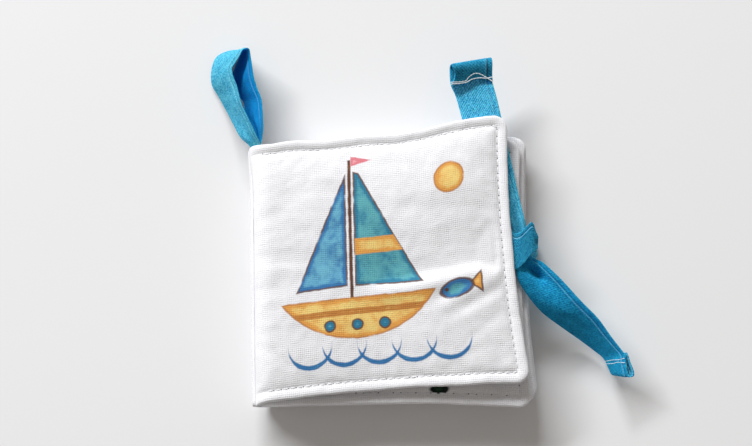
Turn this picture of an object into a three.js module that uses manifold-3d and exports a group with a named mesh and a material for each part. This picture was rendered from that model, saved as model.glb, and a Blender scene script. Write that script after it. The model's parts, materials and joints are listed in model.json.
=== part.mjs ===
// A crinkle cloth book: six padded cotton leaves on one sewn spine, a carry loop in the head
// seam and two ties knotted at the fore-edge. The book lies closed on its back cover.
// Lengths are millimetres and angles are degrees. +X runs from the spine to the fore-edge,
// +Y from the tail edge to the head edge and +Z from the back cover to the front cover.
import * as THREE from 'three';
import Module from 'manifold-3d';
import { mergeVertices } from 'three/addons/utils/BufferGeometryUtils.js';

const wasm = await Module();
wasm.setup();

// Driving dimensions of the leaves
const leafLength = 121;
const leafHeight = 115;
const leafAir = 0.4;
const cornerRadius = 6;

// What a leaf is made of
const fabricThickness = 0.5;
const seamGap = 0.3;
const filmThickness = 0.25;
const waddingThickness = 0.6;
const fillGap = 0.15;
const crownRise = 0.8;
const threadWidth = 0.5;
const threadThickness = 0.3;
const threadClearance = 0.15;

// The sewn edge of a leaf: its lines lie this far in from the outline, or past the line before
const seamEdgeThickness = 0.7;
const rimInset = 1.8;
const rimThickness = 2.4;
const stitchInset = 4.5;
const stitchThickness = 1.1;
const allowanceStep = 1.7;
const allowanceDrop = 0.4;
const shoulderStep = 1.2;
const fillStep = 1.6;
const crownInset = 20;

// The spine, round one fold axis
const rootRadius = 2.8;
const rootAir = 0.45;
const rootTaper = 6;
const rootAngleStep = 30;
const foldClearance = 0.3;
const foldBehind = 0.7;
const foldAir = 0.25;
const fillStart = 6.8;

// The blue straps
const strapWidth = 17;
const strapThickness = 1.2;
const strapClearance = 0.3;
const sewnThickness = 0.5;
const sewnDepth = 5.5;
const slotClearance = 0.15;
const hemLength = 9.5;
const hemThickness = 1.8;
const loopReach = 42;
const loopSewnWidth = 4.2;
const loopSewnThickness = 0.3;
const loopSewnGap = 0.1;
const loopSeamPlace = 8.5;
const frontTieSeamPlace = -1;
const backTieSeamPlace = 8;

// How the closed book lies: the knot draws, turns and lifts the front cover, and leaves fan out
const coverDraw = 4.4;
const coverRise = 6.4;
const coverLean = 6;
const liftAir = 0.8;
const liftStartShare = 0.38;
const liftEndShare = 0.84;
const headRiseStartShare = 0.55;
const headRiseEndShare = 0.95;
const fanReach = 3.7;

// Thicknesses, heights and angles that follow from the sizes above
const shoulderThickness = 2 * fabricThickness + waddingThickness + filmThickness + 3 * fillGap;
const allowanceThickness = shoulderThickness - allowanceDrop;
const leafThickness = shoulderThickness + crownRise;
const allowanceInset = stitchInset + allowanceStep;
const shoulderInset = allowanceInset + shoulderStep;
const fillInset = shoulderInset + fillStep;
const leafPitch = Math.max(leafThickness, rimThickness) + leafAir;
const threadRest = stitchThickness / 2 + threadClearance + threadThickness;
const restingHalf = Math.max(threadRest, fabricThickness + filmThickness + 2 * fillGap);
const coverLift = strapThickness + 2 * strapClearance + liftAir;

// The leaves from the back cover up. Each one's fan shares say how far its fore-edge is drawn
// in, how far its head and tail corners rise and how far its fore-edge leans.
const leaves = [
  { name: 'back_cover', cover: true, fanShares: [0, 0.1, 0.13, -0.4] },
  { name: 'leaf_4', fanShares: [0, 0.05, 0.1, -0.54] },
  { name: 'leaf_3', fanShares: [0.16, -0.08, 0.05, -0.65] },
  { name: 'leaf_2', fanShares: [0.54, -0.32, -0.32, -0.27] },
  { name: 'leaf_1', fanShares: [0.86, -0.81, -1, 0.14] },
  { name: 'front_cover', cover: true, lift: coverLift },
];
const spineHeight = restingHalf + (leafPitch * (leaves.length - 1)) / 2;
leaves.forEach((leaf, index) => {
  const step = index - (leaves.length - 1) / 2;
  const fan = leaf.fanShares?.map((share) => share * fanReach);
  const warp = fan ?? [coverDraw, coverRise, coverRise, coverLean];
  [leaf.draw, leaf.headRise, leaf.tailRise, leaf.lean] = warp;
  leaf.side = Math.sign(step);
  leaf.level = Math.abs(step) * leafPitch;
  leaf.rootAngle = THREE.MathUtils.degToRad(Math.abs(step) * rootAngleStep);
  leaf.bendRadius = (leaf.level - rootRadius * Math.sin(leaf.rootAngle)) / (1 - Math.cos(leaf.rootAngle));
});
const rootChord = 2 * rootRadius * Math.sin(THREE.MathUtils.degToRad(rootAngleStep) / 2);
const rootThickness = rootChord - rootAir;
const rootReachShare = 1.1;
const rootReach = rootReachShare * Math.max(...leaves.map((leaf) => leaf.bendRadius * leaf.rootAngle));

// Materials
const fabricMaterial = (color, roughness) => (
  new THREE.MeshStandardMaterial({ color, roughness, metalness: 0 })
);
const whiteCotton = fabricMaterial(0xededf1, 0.92);
const pageCotton = fabricMaterial(0xe4e4e8, 0.92);
const crinkleFilm = fabricMaterial(0xcfd6dc, 0.25);
const wadding = fabricMaterial(0xf4f2ea, 0.98);
const whiteThread = fabricMaterial(0xf7f7f7, 0.6);
const blueCotton = fabricMaterial(0x2d93c6, 0.8);
const darkBlueCotton = fabricMaterial(0x1f7fb4, 0.8);

// The book's own frame: the fold axis of the spine is its Y axis
const book = new THREE.Group();
book.position.set(-leafLength / 2, 0, spineHeight);

function addPiece(name, geometry, material) {
  geometry.computeVertexNormals();
  const mesh = new THREE.Mesh(geometry, material);
  mesh.name = name;
  book.add(mesh);
  return mesh;
}

// Meshes and booleans
function indexedGeometry(points, triangles) {
  const geometry = new THREE.BufferGeometry();
  geometry.setFromPoints(points);
  geometry.setIndex(triangles);
  return geometry;
}

// A closed solid between two grids of the same shape, of which top lies above bottom
function solidBetween(top, bottom) {
  const rows = top.length;
  const columns = top[0].length;
  const points = [...top.flat(), ...bottom.flat()];
  const at = (layer, i, j) => layer * rows * columns + i * columns + j;
  const triangles = [];
  const quad = (a, b, c, d) => triangles.push(a, b, c, a, c, d);
  for (let i = 0; i < rows - 1; i += 1) {
    for (let j = 0; j < columns - 1; j += 1) {
      quad(at(0, i, j), at(0, i + 1, j), at(0, i + 1, j + 1), at(0, i, j + 1));
      quad(at(1, i, j), at(1, i, j + 1), at(1, i + 1, j + 1), at(1, i + 1, j));
    }
  }
  for (let i = 0; i < rows - 1; i += 1) {
    quad(at(0, i, 0), at(1, i, 0), at(1, i + 1, 0), at(0, i + 1, 0));
    quad(at(0, i + 1, columns - 1), at(1, i + 1, columns - 1), at(1, i, columns - 1), at(0, i, columns - 1));
  }
  for (let j = 0; j < columns - 1; j += 1) {
    quad(at(0, 0, j + 1), at(1, 0, j + 1), at(1, 0, j), at(0, 0, j));
    quad(at(0, rows - 1, j), at(1, rows - 1, j), at(1, rows - 1, j + 1), at(0, rows - 1, j + 1));
  }
  return indexedGeometry(points, triangles);
}

// A closed solid through rings of four points each, turned so that its faces point out
function solidThroughRings(rings) {
  const sides = rings[0].length;
  const last = (rings.length - 1) * sides;
  const triangles = [0, 2, 1, 0, 3, 2, last, last + 1, last + 2, last, last + 2, last + 3];
  for (let i = 0; i < rings.length - 1; i += 1) {
    for (let j = 0; j < sides; j += 1) {
      const a = i * sides + j;
      const b = i * sides + ((j + 1) % sides);
      triangles.push(a, b, b + sides, a, b + sides, a + sides);
    }
  }
  return indexedGeometry(rings.flat(), triangles);
}

function toManifold(geometry) {
  const merged = mergeVertices(geometry);
  return new wasm.Manifold(new wasm.Mesh({
    numProp: 3,
    vertProperties: Float32Array.from(merged.attributes.position.array),
    triVerts: Uint32Array.from(merged.index.array),
  }));
}

function cutBy(geometry, cutters) {
  const bare = geometry.clone();
  bare.deleteAttribute('normal');
  const solid = cutters.reduce((rest, cutter) => rest.subtract(toManifold(cutter)), toManifold(bare));
  const { vertProperties, triVerts } = solid.getMesh();
  const cut = new THREE.BufferGeometry();
  cut.setAttribute('position', new THREE.BufferAttribute(vertProperties, 3));
  cut.setIndex(new THREE.BufferAttribute(triVerts, 1));
  return cut;
}

// Where a point of a leaf lies: s along the leaf from the fold axis, v towards the head edge
// and w out of its middle plane. A leaf leaves the spine at its own angle, bends level on an
// arc and runs on flat, and the warp of the closed book is added.
function leafPoint(leaf, s, v, w) {
  const { rootAngle, bendRadius } = leaf;
  const share = (s - rootRadius) / (leafLength - rootRadius);
  const along = share * (leafLength - rootRadius - leaf.draw);
  const turned = Math.min(along / bendRadius, rootAngle);
  const heading = rootAngle - turned;
  const level = along - turned * bendRadius;
  const x = rootRadius * Math.cos(rootAngle) + bendRadius * (Math.sin(rootAngle) - Math.sin(heading)) + level;
  const z = rootRadius * Math.sin(rootAngle) + bendRadius * (Math.cos(heading) - Math.cos(rootAngle));
  const across = (2 * v) / leafHeight;
  const tailShape = leaf.lift ? 1 - Math.abs(1 - share) ** (5 / 2) : share ** 3;
  const headShape = leaf.lift
    ? THREE.MathUtils.smoothstep(share, headRiseStartShare, headRiseEndShare)
    : share ** 3;
  const rise = (leaf.tailRise * tailShape * (1 - across) + leaf.headRise * headShape * (1 + across)) / 2;
  const lift = (leaf.lift ?? 0) * THREE.MathUtils.smoothstep(share, liftStartShare, liftEndShare);
  return new THREE.Vector3(
    x - w * leaf.side * Math.sin(heading) - (leaf.lean / 2) * across * share ** 2,
    v + rise,
    leaf.side * z + w * Math.cos(heading) + lift,
  );
}

// Half the thickness of a leaf at a place in from its sewn edge
const edgeLines = [
  [0, seamEdgeThickness],
  [rimInset, rimThickness],
  [stitchInset, stitchThickness],
  [allowanceInset, allowanceThickness],
  [shoulderInset, shoulderThickness],
  [crownInset, leafThickness],
];

function halfThickness(s, inset) {
  const next = edgeLines.findIndex(([line]) => line > inset);
  let full = leafThickness;
  if (next > 0) {
    const [fromInset, fromThickness] = edgeLines[next - 1];
    const [toInset, toThickness] = edgeLines[next];
    full = THREE.MathUtils.mapLinear(inset, fromInset, toInset, fromThickness, toThickness);
  }
  const grown = THREE.MathUtils.smoothstep(s, rootRadius, rootRadius + rootTaper);
  return THREE.MathUtils.lerp(Math.min(rootThickness, full), full, grown) / 2;
}

// The lines that a leaf's grids share
const insets = edgeLines.map(([inset]) => inset);
const rootShares = [0, 0.15, 0.36, 0.6, 1];
const middleShares = [0.3, 0.55, 0.75];
const lengthStations = [
  ...rootShares.map((share) => rootRadius + share * rootReach),
  ...middleShares.map((share) => share * leafLength),
  ...insets.map((inset) => leafLength - inset).reverse(),
];

// Half the height of the outline at s, with its rounded outer corners
function halfHeight(s) {
  const past = THREE.MathUtils.clamp(s - (leafLength - cornerRadius), 0, cornerRadius);
  return leafHeight / 2 - cornerRadius + Math.sqrt(cornerRadius ** 2 - past ** 2);
}

const heightStations = (s) => {
  const tail = insets.map((inset) => inset - halfHeight(s));
  return [...tail, 0, ...tail.map((v) => -v).reverse()];
};
const stationInsets = [...insets, leafHeight / 2, ...[...insets].reverse()];

// One fabric face of a leaf, with its seam allowance turned in. side is 1 for the face
// towards the front cover and -1 for the face towards the back cover.
function fabricFace(leaf, side) {
  const resting = leaf.name === 'back_cover' && side < 0;
  const outer = [];
  const inner = [];
  lengthStations.forEach((s) => {
    const outerRow = [];
    const innerRow = [];
    heightStations(s).forEach((v, j) => {
      const inset = Math.min(stationInsets[j], leafLength - s);
      const half = halfThickness(s, inset);
      const face = resting ? Math.min(half, restingHalf) : half;
      const lining = inset > allowanceInset ? Math.max(seamGap / 2, face - fabricThickness) : seamGap / 2;
      outerRow.push(leafPoint(leaf, s, v, side * face));
      innerRow.push(leafPoint(leaf, s, v, side * lining));
    });
    outer.push(outerRow);
    inner.push(innerRow);
  });
  return side > 0 ? solidBetween(outer, inner) : solidBetween(inner, outer);
}

// A flat layer inside a leaf, between two distances from its middle plane
function innerLayer(leaf, low, high) {
  const last = leafLength - fillInset;
  const rows = [...lengthStations.filter((s) => s >= rootRadius + fillStart && s < last), last];
  const reach = leafHeight / 2 - fillInset;
  const columns = [-reach, -reach / 2, 0, reach / 2, reach];
  const grid = (w) => rows.map((s) => columns.map((v) => leafPoint(leaf, s, v, w)));
  return solidBetween(grid(high), grid(low));
}

// The topstitching of one face: a flat thread in the groove round three sides of the leaf
function topstitching(leaf, side) {
  const corner = leafLength - stitchInset;
  const runs = lengthStations.filter((s) => s >= rootRadius + fillStart && s < corner);
  const inside = insets.indexOf(stitchInset) + 1;
  const edge = (s) => halfHeight(s) - stitchInset;
  const half = threadWidth / 2;
  const path = [
    ...runs.map((s) => [s, -edge(s), 0, half]),
    [corner, -edge(corner), -half, half],
    ...heightStations(corner).slice(inside, -inside).map((v) => [corner, v, -half, 0]),
    [corner, edge(corner), -half, -half],
    ...[...runs].reverse().map((s) => [s, edge(s), 0, -half]),
  ];
  const low = stitchThickness / 2 + threadClearance;
  const high = low + threadThickness;
  const rings = path.map(([s, v, ds, dv]) => [
    leafPoint(leaf, s - ds, v - dv, side * low),
    leafPoint(leaf, s - ds, v - dv, side * high),
    leafPoint(leaf, s + ds, v + dv, side * high),
    leafPoint(leaf, s + ds, v + dv, side * low),
  ]);
  return solidThroughRings(side < 0 ? rings : rings.map((ring) => [...ring].reverse()));
}

const strapStepCount = 3;

// A strap swept through stations. Each has its centre, the half width across and a thickness.
class Strap {
  constructor(stations) {
    this.stations = stations;
    this.spans = stations.length - 1;
    const curveOf = (key) => (
      new THREE.CatmullRomCurve3(stations.map((station) => station[key]), false, 'centripetal')
    );
    this.centres = curveOf('centre');
    this.acrosses = curveOf('across');
  }

  frameAt(place) {
    const t = THREE.MathUtils.clamp(place / this.spans, 0, 1);
    const index = Math.min(Math.floor(place), this.spans - 1);
    const from = this.stations[index].thickness;
    const to = this.stations[index + 1].thickness;
    const centre = this.centres.getPoint(t);
    const across = this.acrosses.getPoint(t);
    const ahead = this.centres.getTangent(t);
    const normal = ahead.clone().cross(across).normalize();
    return { centre, across, ahead, normal, thickness: THREE.MathUtils.lerp(from, to, place - index) };
  }

  ringAt(place, grow = 0, back = 0) {
    const { centre, across, ahead, normal, thickness } = this.frameAt(place);
    const wide = across.clone().setLength(across.length() + grow);
    const high = normal.clone().setLength(thickness / 2 + grow);
    const middle = centre.clone().addScaledVector(ahead, back);
    return [[-1, -1], [1, -1], [1, 1], [-1, 1]].map(([a, b]) => (
      middle.clone().addScaledVector(wide, a).addScaledVector(high, b)
    ));
  }

  solid() {
    const rings = [];
    for (let i = 0; i <= this.spans * strapStepCount; i += 1) rings.push(this.ringAt(i / strapStepCount));
    return solidThroughRings(rings);
  }

  // The slot that the sewn end fills in its seam, which opens past the edge of the leaf
  slot(start, end) {
    const step = Math.sign(end - start) / strapStepCount;
    const rings = [this.ringAt(start, slotClearance, -Math.sign(step) * slotClearance)];
    for (let place = start + step; Math.abs(place - start) <= Math.abs(end - start); place += step) {
      rings.push(this.ringAt(place, slotClearance));
    }
    return solidThroughRings(step > 0 ? rings : rings.reverse());
  }
}

// A hem thread laid across a strap on the side that its normal points to
function threadAcross(strap, place, turn) {
  const { centre, across, ahead, normal, thickness } = strap.frameAt(place);
  const low = turn * (thickness / 2 + threadClearance);
  const high = turn * (thickness / 2 + threadClearance + threadThickness);
  const reach = 1 - threadWidth / across.length();
  const ring = (a) => [[low, -1], [high, -1], [high, 1], [low, 1]].map(([height, side]) => (
    centre.clone().addScaledVector(across, a).addScaledVector(normal, height)
      .addScaledVector(ahead, (side * threadWidth) / 2)
  ));
  return solidThroughRings(turn > 0 ? [ring(-reach), ring(reach)] : [ring(reach), ring(-reach)]);
}

const cover = leaves.at(-1);
const backCover = leaves[0];

// Stations of a strap that lie in or along a leaf
function leafStation(leaf, s, v, w, ds, dv, thickness) {
  const centre = leafPoint(leaf, s, v, w);
  const far = leafPoint(leaf, s + ds, v + dv, w);
  const near = leafPoint(leaf, s - ds, v - dv, w);
  centre.lerp(far.clone().add(near).multiplyScalar(1 / 2), 1 / 2);
  return { centre, across: far.sub(near).multiplyScalar(1 / 2), thickness };
}

// Stations given as shares, of a length in the plane and of a height above the table
function freeStations(shares, origin, length, height, width, thickness) {
  return shares.map(([x, y, z, across, along, up]) => ({
    centre: new THREE.Vector3(origin.x + x * length, origin.y + y * length, z * height - spineHeight),
    across: new THREE.Vector3(across * width, along * width, up * height),
    thickness,
  }));
}

// The carry loop leaves the head seam beside the spine, stands on edge and comes back
const loopBase = leafPoint(cover, loopSeamPlace, leafHeight / 2, 0);
const loopBaseHeight = loopBase.z + spineHeight;
const loopOutShares = [
  [-0.105, 0.1, 0.87, 0.14, 0.03, 0.21],
  [-0.21, 0.23, 0.79, 0.22, 0.03, 0.28],
  [-0.31, 0.42, 0.7, 0.255, 0, 0.35],
  [-0.42, 0.69, 0.6, 0.285, -0.025, 0.41],
  [-0.425, 0.84, 0.55, 0.295, -0.045, 0.405],
  [-0.365, 0.955, 0.545, 0.295, -0.05, 0.405],
];
const loopBackShares = [
  [-0.265, 0.965, 0.56, 0.265, -0.035, 0.42],
  [-0.21, 0.84, 0.61, 0.27, 0.005, 0.43],
  [-0.165, 0.59, 0.69, 0.28, 0, 0.415],
  [-0.11, 0.39, 0.8, 0.23, -0.03, 0.335],
  [-0.05, 0.155, 0.93, 0.14, -0.01, 0.21],
];
const loopHalf = loopSewnWidth / 2;
const loopLayer = (loopSewnThickness + loopSewnGap) / 2;
const loopEnd = (beyond, w) => (
  leafStation(cover, loopSeamPlace, leafHeight / 2 + beyond, w, loopHalf, 0, loopSewnThickness)
);
const loopFree = (shares) => (
  freeStations(shares, loopBase, loopReach, loopBaseHeight, strapWidth, strapThickness)
);
const carryLoop = new Strap([
  loopEnd(-sewnDepth, loopLayer),
  loopEnd(0, loopLayer),
  ...loopFree(loopOutShares),
  ...loopFree(loopBackShares),
  loopEnd(0, -loopLayer),
  loopEnd(-sewnDepth, -loopLayer),
]);

// The knot lies just past the fore-edge, level with the gap under the front cover
const tieHalf = strapWidth / 2;
const frontTieExit = leafPoint(cover, leafLength, frontTieSeamPlace, 0);
const knot = new THREE.Vector3(leafLength, frontTieExit.y + strapThickness * 2, 0);
const knotHeight = frontTieExit.z + spineHeight - leafAir - leafThickness / 2;

// The front tie crosses over the back tie, turns under it and tucks in under the front cover
const wrapShares = [
  [-0.36, -0.08, 1.11, -0.02, 0.47, 0.01],
  [-0.16, 0.02, 1.14, -0.03, 0.37, 0.02],
  [0.05, 0.09, 1.09, -0.03, 0.3, 0.01],
  [0.18, 0.12, 0.94, 0, 0.27, 0],
  [0.14, 0.12, 0.77, 0.02, 0.26, 0],
  [0.01, 0.18, 0.745, 0.07, 0.24, 0.01],
  [-0.19, 0.38, 0.865, 0.1, 0.16, -0.03],
];
const tuckShares = [
  [1, 0.17, 0.36],
  [0.972, 0.28, 0.46],
  [0.917, 0.507, 0.5],
  [0.885, 0.66, 0.5],
];
const tuckDepth = leafThickness / 2 + strapClearance + strapThickness / 2;
const tuckSagShare = 0.02;
const tuckStations = tuckShares.map(([sShare, vShare, widthShare], index) => {
  const [fromS, fromV] = tuckShares[Math.max(index - 1, 0)];
  const [toS, toV] = tuckShares[Math.min(index + 1, tuckShares.length - 1)];
  const run = new THREE.Vector2((toS - fromS) * leafLength, (toV - fromV) * leafHeight).normalize();
  const half = widthShare * strapWidth;
  const past = Math.max(0, vShare - 1 / 2) * leafHeight;
  const depth = tuckDepth + past * past * (tuckSagShare / strapWidth);
  return leafStation(
    cover, sShare * leafLength, vShare * leafHeight, -depth, run.y * half, -run.x * half, strapThickness,
  );
});

// The tail end of a tie, turned over and stitched down into a hem that runs straight on
function hemEnd(stations) {
  const [before, last] = stations.slice(-2);
  const run = last.centre.clone().sub(before.centre).setLength(hemLength);
  const hem = { ...last, thickness: hemThickness };
  return [...stations.slice(0, -1), hem, { ...hem, centre: last.centre.clone().add(run) }];
}

const tieEnd = (leaf, seamPlace, beyond) => (
  leafStation(leaf, leafLength + beyond, seamPlace, 0, 0, tieHalf, sewnThickness)
);
const tieFree = (shares) => freeStations(shares, knot, strapWidth, knotHeight, strapWidth, strapThickness);
const frontTie = new Strap(hemEnd([
  tieEnd(cover, frontTieSeamPlace, -sewnDepth),
  tieEnd(cover, frontTieSeamPlace, 0),
  ...tieFree(wrapShares),
  ...tuckStations,
]));

// The back tie climbs the fore-edges, passes through the wrap and falls away to the table
const riseShares = [
  [0.02, 0.02, 0.07, 0, 0.49, 0],
  [0.105, 0.06, 0.24, 0, 0.46, 0],
  [0.11, 0.18, 0.42, 0, 0.38, 0],
  [0.105, 0.42, 0.57, 0, 0.22, -0.02],
  [0.1, 0.61, 0.7, 0, 0.13, -0.02],
  [0.07, 0.66, 0.83, 0.02, 0.12, 0],
  [0.025, 0.56, 0.95, 0.08, 0.07, 0.01],
  [-0.01, 0.36, 0.935, 0.1, 0.02, 0.04],
  [-0.02, 0.13, 0.92, 0.09, 0.01, 0.05],
  [-0.01, -0.2, 0.91, 0.1, -0.01, 0.05],
  [0.02, -0.44, 0.87, 0.16, 0.06, 0.07],
];
const fallShares = [
  [0.14, -0.7, 0.72, 0.24, 0.18, 0.11],
  [0.37, -1.05, 0.59, 0.31, 0.24, 0.14],
  [0.7, -1.47, 0.46, 0.32, 0.28, 0.21],
  [1.2, -1.9, 0.38, 0.25, 0.24, 0.29],
  [1.64, -2.32, 0.34, 0.22, 0.14, 0.28],
  [2.1, -2.84, 0.38, 0.22, 0.06, 0.31],
];
const backTie = new Strap(hemEnd([
  tieEnd(backCover, backTieSeamPlace, -sewnDepth),
  tieEnd(backCover, backTieSeamPlace, 0),
  ...tieFree([...riseShares, ...fallShares]),
]));

// The leaves and covers
leaves.forEach((leaf) => {
  const outward = leaf === backCover ? -1 : 1;
  const slots = [];
  if (leaf === cover) {
    const loopEndSlot = carryLoop.slot(carryLoop.spans, carryLoop.spans - 2);
    slots.push(carryLoop.slot(0, 2), loopEndSlot, frontTie.slot(0, 2));
  }
  if (leaf === backCover) slots.push(backTie.slot(0, 2));
  const faces = leaf.cover
    ? [['outer_fabric', outward, whiteCotton], ['inner_fabric', -outward, pageCotton]]
    : [['front_fabric', 1, pageCotton], ['back_fabric', -1, pageCotton]];
  faces.forEach(([name, side, material]) => {
    const face = fabricFace(leaf, side);
    addPiece(`${leaf.name}_${name}`, slots.length ? cutBy(face, slots) : face, material);
  });
  const layer = (name, low, high, material) => {
    const [from, to] = outward > 0 ? [low, high] : [-high, -low];
    addPiece(`${leaf.name}_${name}`, innerLayer(leaf, from, to), material);
  };
  if (leaf.cover) {
    layer('wadding', -waddingThickness, 0, wadding);
    layer('crinkle_film', fillGap, fillGap + filmThickness, crinkleFilm);
  } else {
    layer('crinkle_film', -filmThickness / 2, filmThickness / 2, crinkleFilm);
  }
  addPiece(`${leaf.name}_needle_thread`, topstitching(leaf, outward), whiteThread);
  addPiece(`${leaf.name}_bobbin_thread`, topstitching(leaf, -outward), whiteThread);
});

// The folds of the three nested sheets, which the spine stitching holds round the fold axis
const foldRadius = rootRadius - foldClearance;
const folds = ['cover_sheet_fold', 'middle_sheet_fold', 'inner_sheet_fold'];
const foldRoom = foldRadius - 2 * threadClearance - threadThickness + foldBehind;
const foldThickness = (foldRoom - (folds.length - 1) * foldAir) / folds.length;
folds.forEach((name, index) => {
  const near = index * (foldThickness + foldAir) - foldBehind;
  const widest = Math.max(Math.abs(near), Math.abs(near + foldThickness));
  const height = 2 * Math.sqrt(foldRadius ** 2 - widest ** 2);
  const geometry = new THREE.BoxGeometry(foldThickness, leafHeight, height);
  addPiece(name, geometry, pageCotton).position.x = near + foldThickness / 2;
});
const spineThread = () => new THREE.BoxGeometry(threadThickness, leafHeight - 2 * stitchInset, threadWidth);
const needleThread = addPiece('spine_needle_thread', spineThread(), whiteThread);
needleThread.position.x = -foldBehind - threadClearance - threadThickness / 2;
const bobbinThread = addPiece('spine_bobbin_thread', spineThread(), whiteThread);
bobbinThread.position.x = foldRadius - threadClearance - threadThickness / 2;

// The straps and the threads of their hems
addPiece('carry_loop', carryLoop.solid(), blueCotton);
addPiece('front_tie', frontTie.solid(), blueCotton);
addPiece('back_tie', backTie.solid(), darkBlueCotton);
const frontHem = frontTie.spans - 1;
const backHem = backTie.spans - 1;
addPiece('front_tie_hem_thread', threadAcross(frontTie, frontHem, -1), whiteThread);
addPiece('back_tie_hem_thread', threadAcross(backTie, backHem, 1), whiteThread);

export default book;
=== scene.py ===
# The closed cloth book lies on its back cover and is seen from above, a little from its tail
# edge. Its measured model is the frame that every piece below is fitted to.
import json
import math

import bmesh
import bpy
import numpy as np
from mathutils import Matrix, Vector, noise


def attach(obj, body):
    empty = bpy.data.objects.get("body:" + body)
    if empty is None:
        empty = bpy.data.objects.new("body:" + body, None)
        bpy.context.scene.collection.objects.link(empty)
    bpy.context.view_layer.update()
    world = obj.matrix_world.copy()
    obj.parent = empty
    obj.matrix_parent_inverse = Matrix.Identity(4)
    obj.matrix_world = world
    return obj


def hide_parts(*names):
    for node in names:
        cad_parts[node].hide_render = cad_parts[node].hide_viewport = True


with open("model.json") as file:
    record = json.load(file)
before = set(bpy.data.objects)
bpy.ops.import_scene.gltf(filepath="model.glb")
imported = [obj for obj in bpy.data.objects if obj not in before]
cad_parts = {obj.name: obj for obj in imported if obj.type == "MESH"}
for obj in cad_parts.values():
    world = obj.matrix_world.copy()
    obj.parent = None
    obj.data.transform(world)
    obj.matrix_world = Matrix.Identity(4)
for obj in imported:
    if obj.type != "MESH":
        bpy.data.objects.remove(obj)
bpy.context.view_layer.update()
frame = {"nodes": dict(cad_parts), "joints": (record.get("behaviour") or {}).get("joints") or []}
scene = bpy.context.scene

IMAGE_WIDTH = 752
IMAGE_HEIGHT = 446
SENSOR_WIDTH = 36
FOCAL_PIXELS = 1600
CAMERA_ELEVATION = math.radians(80)
CAMERA_ROLL = math.radians(1.378)
CAMERA_DISTANCE = 0.6935
CAMERA_TARGET = Vector((-0.00742, 0.02040, 0.0100))
CAMERA_CLIP_START = 0.01

camera = bpy.data.objects.new("camera", bpy.data.cameras.new("camera"))
scene.collection.objects.link(camera)
scene.camera = camera
camera.data.sensor_width = SENSOR_WIDTH
camera.data.lens = FOCAL_PIXELS * SENSOR_WIDTH / IMAGE_WIDTH
camera.data.clip_start = CAMERA_CLIP_START
back = Vector((0, -math.cos(CAMERA_ELEVATION), math.sin(CAMERA_ELEVATION)))
right = Vector((1, 0, 0))
up = back.cross(right)
turn = Matrix.Rotation(-CAMERA_ROLL, 3, back)
camera_axes = Matrix((turn @ right, turn @ up, back)).transposed()
camera_place = CAMERA_TARGET + back * CAMERA_DISTANCE
camera.matrix_world = Matrix.Translation(camera_place) @ camera_axes.to_4x4()


# A pale table top carries the book, with a soft window light from the head side and a plain
# bright room round it. The table and the room aren't part of the book.
class Value:
    """A number socket of a material: an expression on it adds the Math nodes it needs."""

    def __init__(self, finish, socket):
        self.finish = finish
        self.socket = socket

    def math(self, operation, *others):
        settings = {"operation": operation}
        sockets = dict(enumerate((self, *others)))
        return self.finish.node("ShaderNodeMath", settings, sockets)

    def __add__(self, other):
        return self.math("ADD", other)

    def __sub__(self, other):
        return self.math("SUBTRACT", other)

    def __rsub__(self, other):
        return self.finish.node("ShaderNodeMath", {"operation": "SUBTRACT"}, {0: other, 1: self})

    def __mul__(self, other):
        return self.math("MULTIPLY", other)

    def __truediv__(self, other):
        return self.math("DIVIDE", other)

    def __abs__(self):
        return self.math("ABSOLUTE")

    __radd__ = __add__
    __rmul__ = __mul__


class Finish:
    """One material. node() adds any node: its settings first, then values or links."""

    def __init__(self, name, roughness=0.9):
        self.material = bpy.data.materials.new(name)
        self.material.use_nodes = True
        self.nodes = self.material.node_tree.nodes
        self.shader = self.nodes["Principled BSDF"]
        self.shader.inputs["Roughness"].default_value = roughness

    def node(self, kind, settings, sockets, output=0):
        made = self.nodes.new(kind)
        for key, value in settings.items():
            if key == "stops":
                self.set_stops(made.color_ramp, value)
            else:
                setattr(made, key, value)
        for key, value in sockets.items():
            self.feed(made.inputs[key], value)
        return Value(self, made.outputs[output])

    @staticmethod
    def set_stops(ramp, stops):
        for spare in range(len(ramp.elements), len(stops)):
            ramp.elements.new(spare / len(stops))
        for element, (place, colour) in zip(ramp.elements, stops):
            element.position = place
            element.color = (*colour, 1)

    def feed(self, socket, value):
        if isinstance(value, Value):
            self.material.node_tree.links.new(value.socket, socket)
        elif socket.type == "RGBA":
            socket.default_value = (*value, 1)
        else:
            socket.default_value = value

    def set(self, **sockets):
        for key, value in sockets.items():
            self.feed(self.shader.inputs[key.replace("_", " ")], value)

    def mix(self, low, high, share):
        settings = {"data_type": "RGBA"}
        return self.node("ShaderNodeMix", settings, {0: share, 6: low, 7: high}, 2)

    def rise(self, value, low, high):
        settings = {"interpolation_type": "SMOOTHSTEP"}
        sockets = {"Value": value, "From Min": low, "From Max": high}
        return self.node("ShaderNodeMapRange", settings, sockets)

    def axis(self, where, letter):
        return self.node("ShaderNodeSeparateXYZ", {}, {"Vector": where}, letter)

    def noise(self, where, scale, detail=2.0):
        sockets = {"Vector": where, "Scale": scale, "Detail": detail}
        return self.node("ShaderNodeTexNoise", {}, sockets)

    def bump(self, height, distance):
        sockets = {"Height": height, "Distance": distance, "Strength": 1.0}
        self.set(Normal=self.node("ShaderNodeBump", {}, sockets))


TABLE_SPREAD = 3.0
TABLE_COLOUR = (0.80, 0.80, 0.81)
TABLE_CLOUD = (0.77, 0.77, 0.78)
TABLE_CLOUD_SCALE = 6.0
ROOM_COLOUR = (1.0, 0.935, 0.86)
ROOM_STRENGTH = 0.29
WINDOW_COLOUR = (0.968, 0.986, 1.0)
WINDOW_PLACE = Vector((-1.45, 2.70, 1.95))
WINDOW_WIDTH = 3.20
WINDOW_HEIGHT = 0.50
WINDOW_POWER = 205.0


def link(name, mesh, *finishes):
    piece = bpy.data.objects.new(name, mesh)
    scene.collection.objects.link(piece)
    for finish in finishes:
        mesh.materials.append(finish.material)
    return piece


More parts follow.
